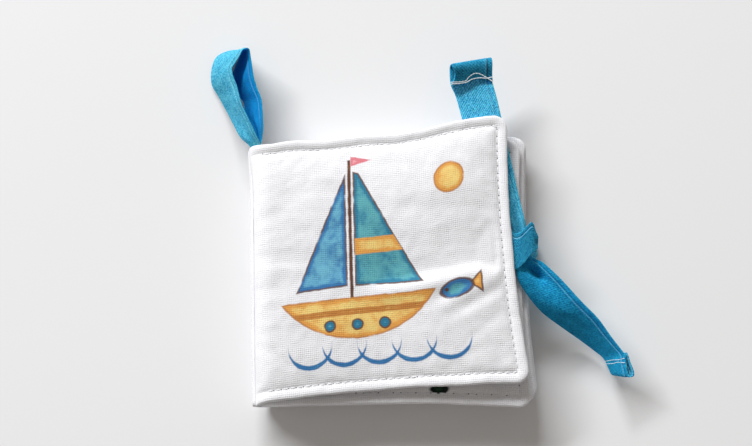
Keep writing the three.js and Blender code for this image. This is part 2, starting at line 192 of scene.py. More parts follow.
table_finish = Finish("table_top", roughness=0.7)
table_place = table_finish.node("ShaderNodeTexCoord", {}, {}, "Object")
table_shade = table_finish.noise(table_place, TABLE_CLOUD_SCALE)
table_finish.set(Base_Color=table_finish.mix(TABLE_COLOUR, TABLE_CLOUD, table_shade))
table_mesh = bpy.data.meshes.new("table_top")
table_corners = [(x * TABLE_SPREAD, y * TABLE_SPREAD, 0) for x, y in ((-1, -1), (1, -1), (1, 1), (-1, 1))]
table_mesh.from_pydata(table_corners, [], [(0, 1, 2, 3)])
table = link("table_top", table_mesh, table_finish)

window_light = bpy.data.lights.new("window", "AREA")
window_light.shape = "RECTANGLE"
window_light.size = WINDOW_WIDTH
window_light.size_y = WINDOW_HEIGHT
window_light.energy = WINDOW_POWER
window_light.color = WINDOW_COLOUR
window = bpy.data.objects.new("window", window_light)
scene.collection.objects.link(window)
window.location = WINDOW_PLACE
window.rotation_euler = (-WINDOW_PLACE).to_track_quat("-Z", "Y").to_euler()
room = bpy.data.worlds.new("room")
scene.world = room
room.use_nodes = True
room.node_tree.nodes["Background"].inputs["Color"].default_value = (*ROOM_COLOUR, 1)
room.node_tree.nodes["Background"].inputs["Strength"].default_value = ROOM_STRENGTH
scene.view_settings.view_transform = "Standard"


# The six padded leaves turn about one fold. Each leaves the spine at its own angle, bends
# level on an arc and runs on flat. The knot draws, turns and lifts the front cover, and the
# leaves under it fan out.
FOLD_AXIS = Vector(frame["joints"][0]["pos_m"])
LEAF_LENGTH = 0.121
LEAF_HEIGHT = 0.115
LEAF_PITCH = 0.0035
LEAF_THICKNESS = 0.0031
ROOT_RADIUS = 0.0028
ROOT_ANGLE_STEP = math.radians(30)
FAN_REACH = 0.0037
LEAF_FAN_POWER = 3
COVER_WARP = (0.0053, 0.0064, 0.0064, 0.0058)
COVER_TAIL_POWER = 2.5
COVER_HEAD_SHARES = (0.55, 0.95)
COVER_LIFT_SHARES = (0.38, 0.84)
FORE_BOW = 0.0026
COVER_LIFT = 0.0026
CORNER_DRAW = 0.0042
CORNER_DRAW_REACH = 0.026
CORNER_DRAW_HEIGHT = 0.030
CORNER_DRAW_POWER = 1.6
CORNER_PULL = 0.0026
CORNER_PULL_POWER = 4
HEAD_DIP = 0.0019
HEAD_DIP_REACH = 0.030
HEAD_DIP_START = (0.004, 0.016)
HEAD_DIP_END = (0.036, 0.066)


def step_up(value, low, high):
    share = np.clip((value - low) / (high - low), 0, 1)
    return share * share * (3 - 2 * share)


def corner_draw(s, v):
    """The carry loop pulls the spine end of the head edge in and out to the left: the two shares."""
    share = np.clip(1 - s / CORNER_DRAW_REACH, 0, 1)
    near = step_up(v, LEAF_HEIGHT / 2 - CORNER_DRAW_HEIGHT, LEAF_HEIGHT / 2)
    return share**CORNER_DRAW_POWER * near, share**CORNER_PULL_POWER * near**2


class Leaf:
    """Where a point of a leaf lies: s along it from the fold, v to the head, w out of it."""

    def __init__(self, name, step, fan_shares=None):
        self.name = name
        self.lifted = fan_shares is None
        warp = COVER_WARP if self.lifted else [share * FAN_REACH for share in fan_shares]
        self.draw, self.head_rise, self.tail_rise, self.lean = warp
        self.side = math.copysign(1, step)
        self.root_angle = abs(step) * ROOT_ANGLE_STEP
        level = abs(step) * LEAF_PITCH
        drop = 1 - math.cos(self.root_angle)
        self.bend_radius = (level - ROOT_RADIUS * math.sin(self.root_angle)) / drop

    def place(self, s, v, w):
        s, v, w = np.broadcast_arrays(s, v, w)
        drawn, pulled = corner_draw(s, v)
        dip = step_up(s, *HEAD_DIP_START) * (1 - step_up(s, *HEAD_DIP_END))
        near_head = step_up(v, LEAF_HEIGHT / 2 - HEAD_DIP_REACH, LEAF_HEIGHT / 2)
        v = v - CORNER_DRAW * drawn - HEAD_DIP * dip * near_head
        root, bend = self.root_angle, self.bend_radius
        share = (s - ROOT_RADIUS) / (LEAF_LENGTH - ROOT_RADIUS)
        along = share * (LEAF_LENGTH - ROOT_RADIUS - self.draw)
        turned = np.minimum(along / bend, root)
        heading = root - turned
        x = ROOT_RADIUS * math.cos(root) + along - turned * bend
        x = x + bend * (math.sin(root) - np.sin(heading))
        z = ROOT_RADIUS * math.sin(root) + bend * (np.cos(heading) - math.cos(root))
        across = 2 * v / LEAF_HEIGHT
        fan = np.sign(share) * np.abs(share) ** LEAF_FAN_POWER
        tail_shape = 1 - np.abs(1 - share) ** COVER_TAIL_POWER if self.lifted else fan
        head_shape = step_up(share, *COVER_HEAD_SHARES) if self.lifted else fan
        rise = self.tail_rise * tail_shape * (1 - across) + self.head_rise * head_shape * (1 + across)
        lift = COVER_LIFT * step_up(share, *COVER_LIFT_SHARES) if self.lifted else 0
        return np.stack([
            FOLD_AXIS.x + x - CORNER_PULL * pulled - w * self.side * np.sin(heading)
            + (FORE_BOW * across**2 - self.lean / 2 * across) * share**2,
            FOLD_AXIS.y + v + rise / 2,
            FOLD_AXIS.z + self.side * z + w * np.cos(heading) + lift,
        ], axis=-1)


# Each leaf's place in the stack, and its shares of the fan: draw, head rise, tail rise and lean.
leaves = {
    "back_cover": Leaf("back_cover", -2.5, (0.66, 0.1, 0.13, 0.31)),
    "leaf_4": Leaf("leaf_4", -1.5, (0.72, 0.05, 0.1, 0.17)),
    "leaf_3": Leaf("leaf_3", -0.5, (0.86, -0.08, 0.05, 0.12)),
    "leaf_2": Leaf("leaf_2", 0.5, (1.1, -0.32, -0.32, 0.1)),
    "leaf_1": Leaf("leaf_1", 1.5, (1.35, -0.81, -1, 0.14)),
    "front_cover": Leaf("front_cover", 2.5),
}

# Each leaf is two printed cottons sewn face to face, turned out over crackling film and
# topstitched near the edge, so that the seam stands up as a puffed rim round three sides.
MILLIMETRES_IN_METRE = 1000
CORNER_RADIUS = 0.006
STITCH_INSET = 0.0045
# The rim's rings in millimetres: how far in each is counted, how far in it lies, half its height.
RIM_SECTION = np.array([
    (0.00, 0.30, 0.00), (0.15, 0.06, 0.20), (0.30, -0.08, 0.48), (0.50, 0.02, 0.80),
    (0.80, 0.38, 1.08), (1.25, 0.95, 1.24), (1.80, 1.65, 1.27), (2.50, 2.45, 1.16),
    (3.20, 3.20, 0.96), (3.80, 3.80, 0.74), (4.20, 4.20, 0.58), (4.50, 4.50, 0.52),
    (4.80, 4.80, 0.57), (5.20, 5.20, 0.70), (5.80, 5.80, 0.85), (6.60, 6.60, 0.98),
    (7.60, 7.60, 1.09),
]) / MILLIMETRES_IN_METRE
CROWN_INSET = 0.020
CROWN_HALF = LEAF_THICKNESS / 2
COVER_CROWN = 0.0030
COVER_WRINKLE = 0.0022
PAGE_WRINKLE = 0.0012
ROOT_HALF = 0.0005
ROOT_TAPER = 0.006
STITCH_PITCH = 0.0032
STITCH_PINCH = 0.00013
PINCH_REACH = 0.0022
PUCKER_DEPTH = 0.00024
PUCKER_PITCH = 0.0064
PUCKER_START = 0.0008
PUCKER_REACH = 0.006
RIPPLE_DEPTH = 0.00030
CRUMPLE_DEPTH = 0.00034
RIM_CLEAR = 0.0006
EDGE_WANDER = 0.00035
EDGE_WANDER_FADE = (0.001, 0.012)
REST_HALF = 0.00105
INSIDE_HALF = 0.00078
INSIDE_FROM_EDGE = (0.0066, 0.0090)
INSIDE_FROM_FOLD = (0.006, 0.012)
NO_LENGTH = 1e-6
WELD_DISTANCE = 2e-6
# Unevenness is a sum of noises: each one's waves to the metre, its seed and its share.
RIPPLE_NOISES = ((55, 0, 1), (130, 7.3, 0.5))
PUCKER_NOISES = ((1 / PUCKER_PITCH, 3.1, 1), (2 / PUCKER_PITCH, 5.7, 0.6))
CRUMPLE_NOISES = ((105, 13.9, 1), (240, 17.1, 0.5))
EDGE_NOISES = ((70, 31.7, 1), (310, 37.9, 0.45))


def even_lines(low, high, pitch):
    return np.linspace(low, high, max(2, round((high - low) / pitch) + 1))


class PadGrid:
    """The lines that the two faces of a pad are woven on, from rim to rim."""

    def __init__(self, pitch):
        nominal = RIM_SECTION[:, 0]
        rings = np.arange(len(nominal))
        inner = nominal[-1] + pitch
        middle_s = even_lines(ROOT_RADIUS, LEAF_LENGTH - inner, pitch)
        middle_v = even_lines(inner - LEAF_HEIGHT / 2, LEAF_HEIGHT / 2 - inner, pitch)
        far = len(nominal)
        s = np.concatenate([[ROOT_RADIUS], middle_s, LEAF_LENGTH - nominal[::-1]])
        s_ring = np.concatenate([[far], np.full(len(middle_s), far), rings[::-1]])
        edge = LEAF_HEIGHT / 2 - nominal
        v = np.concatenate([-edge, middle_v, edge[::-1]])
        v_ring = np.concatenate([rings, np.full(len(middle_v), far), rings[::-1]])
        self.s, self.v = np.meshgrid(s, v, indexing="ij")
        ring_s, ring_v = np.meshgrid(s_ring, v_ring, indexing="ij")
        ring = np.minimum(ring_s, ring_v)
        on_rim = ring < far
        known = np.minimum(ring, far - 1)
        shift = np.where(on_rim, (RIM_SECTION[:, 1] - nominal)[known], 0)
        inset_s = LEAF_LENGTH - self.s
        inset_v = LEAF_HEIGHT / 2 - np.abs(self.v)
        x, y = CORNER_RADIUS - inset_s, CORNER_RADIUS - inset_v
        low, high = np.minimum(x, y), np.maximum(x, y)
        part = np.where(high > 0, low / np.where(high > 0, high, 1), 0) * math.pi / 4
        angle = np.where(x >= y, part, math.pi / 2 - part)
        radius = high - shift
        corner = (x > 0) & (y > 0)
        centre_s = LEAF_LENGTH - CORNER_RADIUS
        centre_v = np.sign(self.v) * (LEAF_HEIGHT / 2 - CORNER_RADIUS)
        turned_s = centre_s + radius * np.cos(angle)
        turned_v = centre_v + np.sign(self.v) * radius * np.sin(angle)
        straight_s = self.s - np.where(ring_s <= ring_v, shift, 0)
        straight_v = self.v - np.sign(self.v) * np.where(ring_v < ring_s, shift, 0)
        self.inset = np.minimum(inset_s, inset_v)
        self.s = np.where(corner, turned_s, straight_s)
        self.v = np.where(corner, turned_v, straight_v)
        fill = RIM_SECTION[-1, 2] + (CROWN_HALF - RIM_SECTION[-1, 2]) * np.sin(
            np.clip((self.inset - nominal[-1]) / (CROWN_INSET - nominal[-1]), 0, 1) * math.pi / 2
        )
        self.half = np.where(on_rim, RIM_SECTION[known, 2], fill)
        grown = step_up(self.s, ROOT_RADIUS, ROOT_RADIUS + ROOT_TAPER)
        self.half = np.minimum(ROOT_HALF, self.half) * (1 - grown) + self.half * grown
        self.half[0] = 0
        self.s[0] -= ROOT_HALF / 2


def wave(first, second, scale, seed):
    places = zip(first.ravel() * scale, second.ravel() * scale)
    return np.array([noise.noise(Vector((x, y, seed))) for x, y in places]).reshape(first.shape)


def unevenness(grid, noises, seed, folded=False):
    """The sum of some noises over a grid; folded turns their crossings into sharp ridges."""
    fields = [(share, wave(grid.s, grid.v, scale, seed + shift)) for scale, shift, share in noises]
    return sum(share * (np.abs(field) if folded else field) for share, field in fields)


def surface_relief(grid, seed):
    """The small rise and fall of one face: puckers along the stitching, ripples and crumples."""
    ripple = unevenness(grid, RIPPLE_NOISES, seed)
    pucker = unevenness(grid, PUCKER_NOISES, seed)
    crumple = 0.5 - unevenness(grid, CRUMPLE_NOISES, seed, folded=True)
    from_stitch = np.abs(grid.inset - STITCH_INSET)
    inside = step_up(grid.inset, STITCH_INSET, 2 * STITCH_INSET)
    near = np.exp(-from_stitch / PUCKER_REACH) * step_up(from_stitch, 0, PUCKER_START)
    pinch = np.cos(2 * math.pi * (grid.s + grid.v) / STITCH_PITCH) * np.exp(-from_stitch / PINCH_REACH)
    clear_root = step_up(grid.s, ROOT_RADIUS, 2 * ROOT_TAPER)
    rim = step_up(grid.inset, 0, RIM_CLEAR)
    soft = RIPPLE_DEPTH * ripple * inside + CRUMPLE_DEPTH * crumple * inside
    return clear_root * rim * (PUCKER_DEPTH * pucker * near + STITCH_PINCH * pinch + soft)


def wandered(grid, seed):
    """The grid with its outline a little uneven, as hand-turned seams are."""
    drift = unevenness(grid, EDGE_NOISES, seed)
    shift = EDGE_WANDER * drift * (1 - step_up(grid.inset, *EDGE_WANDER_FADE))
    shift = shift * step_up(grid.s, ROOT_RADIUS, 2 * ROOT_TAPER)
    near_fore = grid.inset >= LEAF_LENGTH - grid.s - NO_LENGTH
    s = grid.s + np.where(near_fore, shift, 0)
    v = grid.v + np.where(near_fore, 0, shift * np.sign(grid.v))
    return s, v


def grid_faces(shape, flip):
    rows, columns = shape
    at = np.arange(rows * columns).reshape(rows, columns)
    quads = np.stack([at[:-1, :-1], at[1:, :-1], at[1:, 1:], at[:-1, 1:]], axis=-1).reshape(-1, 4)
    return quads[:, ::-1] if flip else quads


def weld(mesh):
    bm = bmesh.new()
    bm.from_mesh(mesh)
    bmesh.ops.remove_doubles(bm, verts=bm.verts, dist=WELD_DISTANCE)
    bmesh.ops.recalc_face_normals(bm, faces=bm.faces)
    bm.to_mesh(mesh)
    bm.free()


def mesh_from(name, points, faces, cloth=None, slots=None):
    """A smooth mesh. cloth holds each point's place on the flat cloth, in metres."""
    mesh = bpy.data.meshes.new(name)
    mesh.from_pydata(np.asarray(points).reshape(-1, 3).tolist(), [], np.asarray(faces).tolist())
    if cloth is not None:
        flat = mesh.attributes.new("cloth", "FLOAT_VECTOR", "POINT")
        flat.data.foreach_set("vector", np.asarray(cloth, np.float32).ravel())
    if slots is not None:
        mesh.polygons.foreach_set("material_index", np.asarray(slots, np.int32))
    mesh.polygons.foreach_set("use_smooth", np.ones(len(mesh.polygons), bool))
    return mesh


# The filled panel inside the stitching is blown up as cloth, at ten times its real size.
PANEL_LOW_S = 0.004
PANEL_HIGH_S = LEAF_LENGTH - STITCH_INSET
PANEL_REACH_V = LEAF_HEIGHT / 2 - STITCH_INSET
PANEL_FULLNESS = 2.8
PANEL_SETTLE = 1.4
SIM_SCALE = 10
SIM_CELLS = 60
SIM_STEPS = 24
SIM_START = 0.012
SIM_BUMP_SHARE = 0.25
SIM_BUMP_SCALE = 9
SIM_BUMP_SEED = 4.2
SIM_CLOTH = {
    "quality": 6, "mass": 0.25, "tension_stiffness": 30, "compression_stiffness": 30,
    "shear_stiffness": 12, "bending_stiffness": 0.12, "tension_damping": 12,
    "compression_damping": 12, "air_damping": 4, "shrink_min": -0.018, "shrink_max": -0.018,
    "use_pressure": True, "uniform_pressure_force": 2.5,
}


def plain_crown(across, along):
    """The pillow shape of a filled panel, from 0 along its stitching to 1 at its middle."""
    fill_across = 1 - np.abs(2 * across - 1) ** PANEL_FULLNESS
    return fill_across * (1 - np.abs(2 * along - 1) ** PANEL_FULLNESS)


def simulated_crown():
    """The same shape as cloth takes it: pinned along its stitching and pushed up, with a little
    more cloth than the panel needs, so that it wrinkles at its edges."""
    lines = np.linspace(0, 1, SIM_CELLS)
    across, along = np.meshgrid(lines, lines, indexing="ij")
    bumps = wave(across, along, SIM_BUMP_SCALE, SIM_BUMP_SEED)
    height = SIM_START * (1 + SIM_BUMP_SHARE * bumps) * plain_crown(across, along)
    length, width = (PANEL_HIGH_S - PANEL_LOW_S) * SIM_SCALE, 2 * PANEL_REACH_V * SIM_SCALE
    points = np.stack([across * length, along * width, height], axis=-1)
    panel = bpy.data.objects.new("panel", mesh_from("panel", points, grid_faces(across.shape, False)))
    scene.collection.objects.link(panel)
    pinned = panel.vertex_groups.new(name="pinned")
    edge = np.minimum(np.minimum(across, 1 - across), np.minimum(along, 1 - along)) < NO_LENGTH
    pinned.add(np.flatnonzero(edge.ravel()).tolist(), 1.0, "REPLACE")
    cloth = panel.modifiers.new("cloth", "CLOTH")
    for key, value in SIM_CLOTH.items():
        setattr(cloth.settings, key, value)
    cloth.settings.vertex_group_mass = "pinned"
    cloth.settings.effector_weights.gravity = 0
    cloth.collision_settings.use_collision = False
    cloth.point_cache.frame_start = 1
    cloth.point_cache.frame_end = SIM_STEPS
    for step in range(1, SIM_STEPS + 1):
        scene.frame_set(step)
    shaped = panel.evaluated_get(bpy.context.evaluated_depsgraph_get()).data
    result = np.empty(len(shaped.vertices) * 3)
    shaped.vertices.foreach_get("co", result)
    bpy.data.objects.remove(panel)
    scene.frame_set(1)
    risen = result.reshape(SIM_CELLS, SIM_CELLS, 3)[..., 2]
    return risen / risen.max()


def sampled(field, across, along):
    """A field on even lines from 0 to 1, read between its lines."""
    last = len(field) - 1
    x, y = np.clip(across, 0, 1) * last, np.clip(along, 0, 1) * last
    i, j = np.minimum(x.astype(int), last - 1), np.minimum(y.astype(int), last - 1)
    x, y = x - i, y - j
    low = field[i, j] * (1 - y) + field[i, j + 1] * y
    high = field[i + 1, j] * (1 - y) + field[i + 1, j + 1] * y
    return low * (1 - x) + high * x


even = np.linspace(0, 1, SIM_CELLS)
flat_crown = plain_crown(*np.meshgrid(even, even, indexing="ij"))
cloth_crown = simulated_crown()


def crown_relief(grid, turned, crown, wrinkle):
    """How far the filling lifts a face: its pillow shape, and the wrinkles, turned for variety."""
    across = (grid.s - PANEL_LOW_S) / (PANEL_HIGH_S - PANEL_LOW_S)
    along = (grid.v + PANEL_REACH_V) / (2 * PANEL_REACH_V)
    if turned % 2:
        along = 1 - along
    wrinkles = cloth_crown - flat_crown
    if turned // 2 % 2:
        wrinkles = wrinkles.T
    settled = np.clip(along, 0, 1) ** PANEL_SETTLE
    return crown * sampled(flat_crown, across, settled) + wrinkle * sampled(wrinkles, across, along)


# The drawn knot and the folding in storage leave long soft creases across the front cover:
# each one's ends along and across the leaf, the reach of its head slope and of its tail
# slope, and its depth.
COVER_CREASES = [
    ((0.012, 0.0035), (0.058, -0.0035), 0.0060, 0.0036, 0.00045),
    ((0.060, -0.0085), (0.113, -0.0040), 0.0190, 0.0032, 0.00215),
    ((0.086, -0.0200), (0.114, -0.0080), 0.0036, 0.0022, 0.00065),
    ((0.092, -0.0270), (0.115, -0.0170), 0.0034, 0.0020, 0.00050),
    ((0.070, 0.0215), (0.110, 0.0190), 0.0065, 0.0040, 0.00040),
    ((0.012, -0.0090), (0.046, -0.0060), 0.0045, 0.0030, 0.00035),
]
CREASE_ENDS = (0.010, 0.006, 0.008)
CREASE_FROM_EDGE = 0.0085
RIDGE_PLACE_SHARE = 2.2
RIDGE_SHARE = 0.3
INNER_CREASE_SHARE = 0.6


def crease_relief(grid):
    total = np.zeros_like(grid.s)
    before, within, after = CREASE_ENDS
    for (s0, v0), (s1, v1), head_reach, tail_reach, depth in COVER_CREASES:
        run_s, run_v = s1 - s0, v1 - v0
        length = math.hypot(run_s, run_v)
        along = ((grid.s - s0) * run_s + (grid.v - v0) * run_v) / length
        aside = ((grid.v - v0) * run_s - (grid.s - s0) * run_v) / length
        ends = step_up(along, -before, within) * (1 - step_up(along, length - within, length + after))
        valley = np.exp(-((aside / np.where(aside > 0, head_reach, tail_reach)) ** 2))
        ridge = np.exp(-((aside / tail_reach + RIDGE_PLACE_SHARE) ** 2))
        total += depth * ends * (RIDGE_SHARE * ridge - valley)
    return total * step_up(grid.inset, STITCH_INSET, CREASE_FROM_EDGE)


LEAF_SEED = 20.0
FACE_SEED = 11


def pad_mesh(leaf, grid, number):
    points, faces, slots, cloth = [], [], [], []
    seed = LEAF_SEED * number
    s, v = wandered(grid, seed)
    filled = step_up(grid.inset, *INSIDE_FROM_EDGE) * step_up(grid.s, *INSIDE_FROM_FOLD)
    for index, side in enumerate((1, -1)):
        half = grid.half + surface_relief(grid, seed + FACE_SEED * index)
        if leaf.lifted:
            half = half + crease_relief(grid) * (1 if side > 0 else -INNER_CREASE_SHARE)
        outer = leaf.lifted and side > 0
        crown, wrinkle = (COVER_CROWN, COVER_WRINKLE) if outer else (0, PAGE_WRINKLE)
        half = half + crown_relief(grid, 2 * number + index, crown, wrinkle)
        half = np.maximum(half, INSIDE_HALF * filled)
        if leaf.name == "back_cover" and side < 0:
            half = np.minimum(half, REST_HALF)
        faces.append(grid_faces(grid.s.shape, side < 0) + len(points) * grid.s.size)
        slots.append(np.full(len(faces[-1]), index))
        points.append(leaf.place(s, v, side * half).reshape(-1, 3))
        cloth.append(np.stack([grid.s, grid.v, 0 * grid.s], axis=-1).reshape(-1, 3))
    mesh = mesh_from(leaf.name, *(np.concatenate(parts) for parts in (points, faces, cloth, slots)))
    weld(mesh)
    return mesh


# Plain-weave cotton: a visible square weave with slubs, slightly blue white. Prints are soft
# watercolour motifs, soaked into the cloth with darker pigment at their edges.
COTTON_WHITE = (0.868, 0.868, 0.893)
COTTON_SHADE = (0.80, 0.80, 0.83)
COTTON_SOIL_SPAN = (0.35, 0.85)
COTTON_SHEEN = 0.15
COTTON_GLOSS = 0.2
THREAD_PITCH = 0.00086
THREAD_PHASE = 2 * math.pi / THREAD_PITCH
WEAVE_DEPTH = 0.00013
# Painted shade between the threads: the weave's low places are darkened by this tint.
WEAVE_LOW_SHADE = (0.82, 0.82, 0.83)
WEAVE_LOW_SHADE_SPAN = (0.02, 0.80)
WEFT_DRIFT_SHARE = 0.8
WEAVE_PATCH_SPAN = (0.25, 0.75)
WEAVE_LEAST, WEAVE_MORE = 0.05, 0.20
# A noise is given by its scale and its detail.
BROAD_DRIFT, BROAD_DRIFT_SIZE = (110, 2.0), 6.0
FINE_DRIFT, FINE_DRIFT_SIZE = (700, 1.0), 1.2
WEAVE_PATCHES = (330, 2.0)
SLUBS = (1500, 3.0)
COTTON_SOIL = (45, 2.0)
BLOTS = (130, 4.0)
GRAIN = (420, 3.0)
WOBBLE, WOBBLE_SIZE = (300, 2.0), 2.2
CLOTH_ATTRIBUTE = {"attribute_name": "cloth", "attribute_type": "GEOMETRY"}
# Watercolour: distances from a shape's edge in millimetres, and shares of its tones.
EDGE_WOBBLE_SHARE = 0.35
EDGE_SOFTNESS = 0.35
POOL_SPAN, POOL_SHARE = (-2.6, -0.2), 0.45
GRAIN_SHARE = 0.5
TONE_SPAN = (0.32, 0.86)
LINE_SPAN, LINE_BREAKS, LINE_SHARE = (0.62, 0.18), (0.30, 0.48), 0.85


def weave_height(finish, where):
    """A plain weave with uneven threads, from the place on the flat cloth."""
    x, y = finish.axis(where, "X"), finish.axis(where, "Y")
    broad = finish.noise(where, *BROAD_DRIFT) * BROAD_DRIFT_SIZE
    drift = broad + finish.noise(where, *FINE_DRIFT) * FINE_DRIFT_SIZE
    warp = (x * THREAD_PHASE + drift).math("SINE")
    weft = (y * THREAD_PHASE + drift * WEFT_DRIFT_SHARE).math("SINE")
    patches = finish.rise(finish.noise(where, *WEAVE_PATCHES), *WEAVE_PATCH_SPAN)
    slub = finish.noise(where, *SLUBS)
    return (warp + weft) * (patches * WEAVE_MORE + WEAVE_LEAST) + slub


class Print:
    """Watercolour motifs on a cotton, drawn in millimetres from the fold and mid-height."""

    def __init__(self, name):
        self.finish = finish = Finish(name)
        self.where = finish.node("ShaderNodeAttribute", CLOTH_ATTRIBUTE, {}, "Vector")
        self.x = finish.axis(self.where, "X") * MILLIMETRES_IN_METRE
        self.y = finish.axis(self.where, "Y") * MILLIMETRES_IN_METRE
        self.blot = finish.noise(self.where, *BLOTS)
        self.grain = finish.noise(self.where, *GRAIN)
        self.wobble = (finish.noise(self.where, *WOBBLE) - 0.5) * WOBBLE_SIZE
        soil = finish.rise(finish.noise(self.where, *COTTON_SOIL), *COTTON_SOIL_SPAN)
        self.colour = finish.mix(COTTON_WHITE, COTTON_SHADE, soil)

    def circle(self, x, y, radius):
        across, along = self.x - x, self.y - y
        return (across * across + along * along).math("SQRT") - radius

    def oval(self, x, y, wide, high, tilt=0.0):
        cos, sin = math.cos(math.radians(tilt)), math.sin(math.radians(tilt))
        across, along = self.x - x, self.y - y
        a = (across * cos + along * sin) / wide
        b = (along * cos - across * sin) / high
        return ((a * a + b * b).math("SQRT") - 1) * min(wide, high)

    def side(self, x, y, heading):
        """Distance past a straight line through a point; positive to its left."""
        cos, sin = math.cos(math.radians(heading)), math.sin(math.radians(heading))
        return (self.y - y) * cos - (self.x - x) * sin

    def polygon(self, *points):
        """A convex shape, its corners given clockwise."""
        shape = None
        for (x0, y0), (x1, y1) in zip(points, (*points[1:], points[0])):
            edge = self.side(x0, y0, math.degrees(math.atan2(y1 - y0, x1 - x0)))
            shape = edge if shape is None else shape.math("MAXIMUM", edge)
        return shape

    def paint(self, shape, light, deep, outline=None):
        """Soaks a shape in: mottled between two colours, deeper at its edge."""
        finish = self.finish
        edge = shape + self.wobble * EDGE_WOBBLE_SHARE
        inside = finish.rise(edge, EDGE_SOFTNESS, -EDGE_SOFTNESS)
        pooled = finish.rise(edge, *POOL_SPAN) * POOL_SHARE
        tone = finish.rise(self.blot + (self.grain - 0.5) * GRAIN_SHARE + pooled, *TONE_SPAN)
        self.colour = finish.mix(self.colour, finish.mix(light, deep, tone), inside)
        if outline:
            line = finish.rise(abs(edge), *LINE_SPAN) * finish.rise(self.blot, *LINE_BREAKS)
            self.colour = finish.mix(self.colour, outline, line * LINE_SHARE)

    def done(self):
        finish = self.finish
        height = weave_height(finish, self.where)
        # Painted shade: the colour darkens where the weave lies low.
        shade = finish.rise(height, *WEAVE_LOW_SHADE_SPAN)
        finish.set(Base_Color=finish.mix(self.darker(), self.colour, shade))
        finish.set(Sheen_Weight=COTTON_SHEEN, Specular_IOR_Level=COTTON_GLOSS)
        finish.bump(height, WEAVE_DEPTH)
        return finish

    def darker(self):
        settings = {"data_type": "RGBA", "blend_type": "MULTIPLY"}
        sockets = {0: 1.0, 6: self.colour, 7: WEAVE_LOW_SHADE}
        return self.finish.node("ShaderNodeMix", settings, sockets, 2)


TEAL, DEEP_TEAL = (0.12, 0.42, 0.47), (0.03, 0.20, 0.33)
SKY, DEEP_SKY = (0.16, 0.46, 0.62), (0.04, 0.18, 0.42)
YELLOW, ORANGE = (0.90, 0.66, 0.22), (0.78, 0.36, 0.08)
SAND, RUST = (0.88, 0.52, 0.14), (0.55, 0.22, 0.05)
PINK, RED = (0.85, 0.42, 0.45), (0.70, 0.20, 0.24)
LEAF_GREEN, DARK_GREEN = (0.20, 0.42, 0.16), (0.04, 0.18, 0.07)
# Painted shade: leaf greens darkened to near black, for the leaf that lies in shade under the cover's edge.
SHADED_LEAF_GREEN, SHADED_LEAF_DARK = (0.016, 0.062, 0.024), (0.004, 0.012, 0.008)
BROWN = (0.12, 0.05, 0.03)


def boat_print():
    """The front cover's motif: a small sailing boat, a fish beside it and the sun."""
    made = Print("cover_boat_print")
    for x in (30, 45, 60, 75, 90):
        swell = made.circle(x, -37, 9.5).math("MAXIMUM", 0 - made.circle(x, -34.6, 9.8))
        made.paint(swell, SKY, DEEP_SKY)
    jib = made.polygon((47, 38), (47, -11), (25, -12.5)).math("MAXIMUM", 0 - made.circle(9, 24, 29))
    made.paint(jib, SKY, DEEP_SKY, BROWN)
    main = made.polygon((51, 43), (80, -11), (51, -11)).math("MAXIMUM", made.circle(38, -2, 44))
    made.paint(main, TEAL, DEEP_TEAL, BROWN)
    band = main.math("MAXIMUM", abs(made.side(51, 6, 4)) - 3.6)
    made.paint(band, YELLOW, ORANGE)
    mast = made.polygon((48.3, 46.5), (49.8, 46.5), (49.8, -18), (48.3, -18))
    made.paint(mast, RUST, BROWN)
    flag = made.polygon((49.8, 48), (59, 45.6), (49.8, 43.2))
    made.paint(flag, PINK, RED)
    hull = made.circle(51, 7, 41).math("MAXIMUM", made.side(51, -16.5, 2))
    made.paint(hull, YELLOW, ORANGE, RUST)
    strake = hull.math("MAXIMUM", abs(made.side(51, -22.5, 2)) - 1.3)
    made.paint(strake, SAND, RUST)
    for x in (39, 51, 63):
        made.paint(made.circle(x, -28.2, 2.3), SKY, DEEP_TEAL, BROWN)
    fish = made.oval(95, -16, 7.2, 3.7, 14)
    tail = made.polygon((101, -14.2), (106, -9.6), (106.2, -18.2))
    made.paint(tail, YELLOW, ORANGE, BROWN)
    made.paint(fish, TEAL, DEEP_SKY, BROWN)
    made.paint(made.circle(90.5, -16.4, 0.8), BROWN, BROWN)
    made.paint(made.circle(94, 33, 6.6), YELLOW, ORANGE, RUST)
    return made.done()


def star_print():
    """A large six-pointed star with two small ones."""
    made = Print("page_star_print")
    stars = ((60, 4, 27, YELLOW, ORANGE), (92, 36, 9, PINK, RED), (29, -35, 8, SKY, DEEP_SKY))
    for x, y, size, light, deep in stars:
        star = None
        for first in (90, 270):
            tips = [math.radians(first - 120 * corner) for corner in range(3)]
            points = [(x + size * math.cos(tip), y + size * math.sin(tip)) for tip in tips]
            point = made.polygon(*points)
            star = point if star is None else star.math("MINIMUM", point)
        made.paint(star, light, deep, RUST)
    return made.done()


def cloud_print():
    """Two clouds over a low sun."""
    made = Print("page_cloud_print")
    made.paint(made.circle(58, -22, 17), YELLOW, ORANGE, RUST)
    for x, y, size in ((46, 20, 1.0), (88, 2, 0.7)):
        cloud = made.circle(x, y + 5 * size, 12 * size)
        for shift, radius in ((-14, 8.5), (13, 9.5)):
            cloud = cloud.math("MINIMUM", made.circle(x + shift * size, y, radius * size))
        made.paint(cloud.math("MAXIMUM", 0 - made.side(x, y - 4 * size, 0)), SKY, DEEP_SKY, BROWN)
    return made.done()


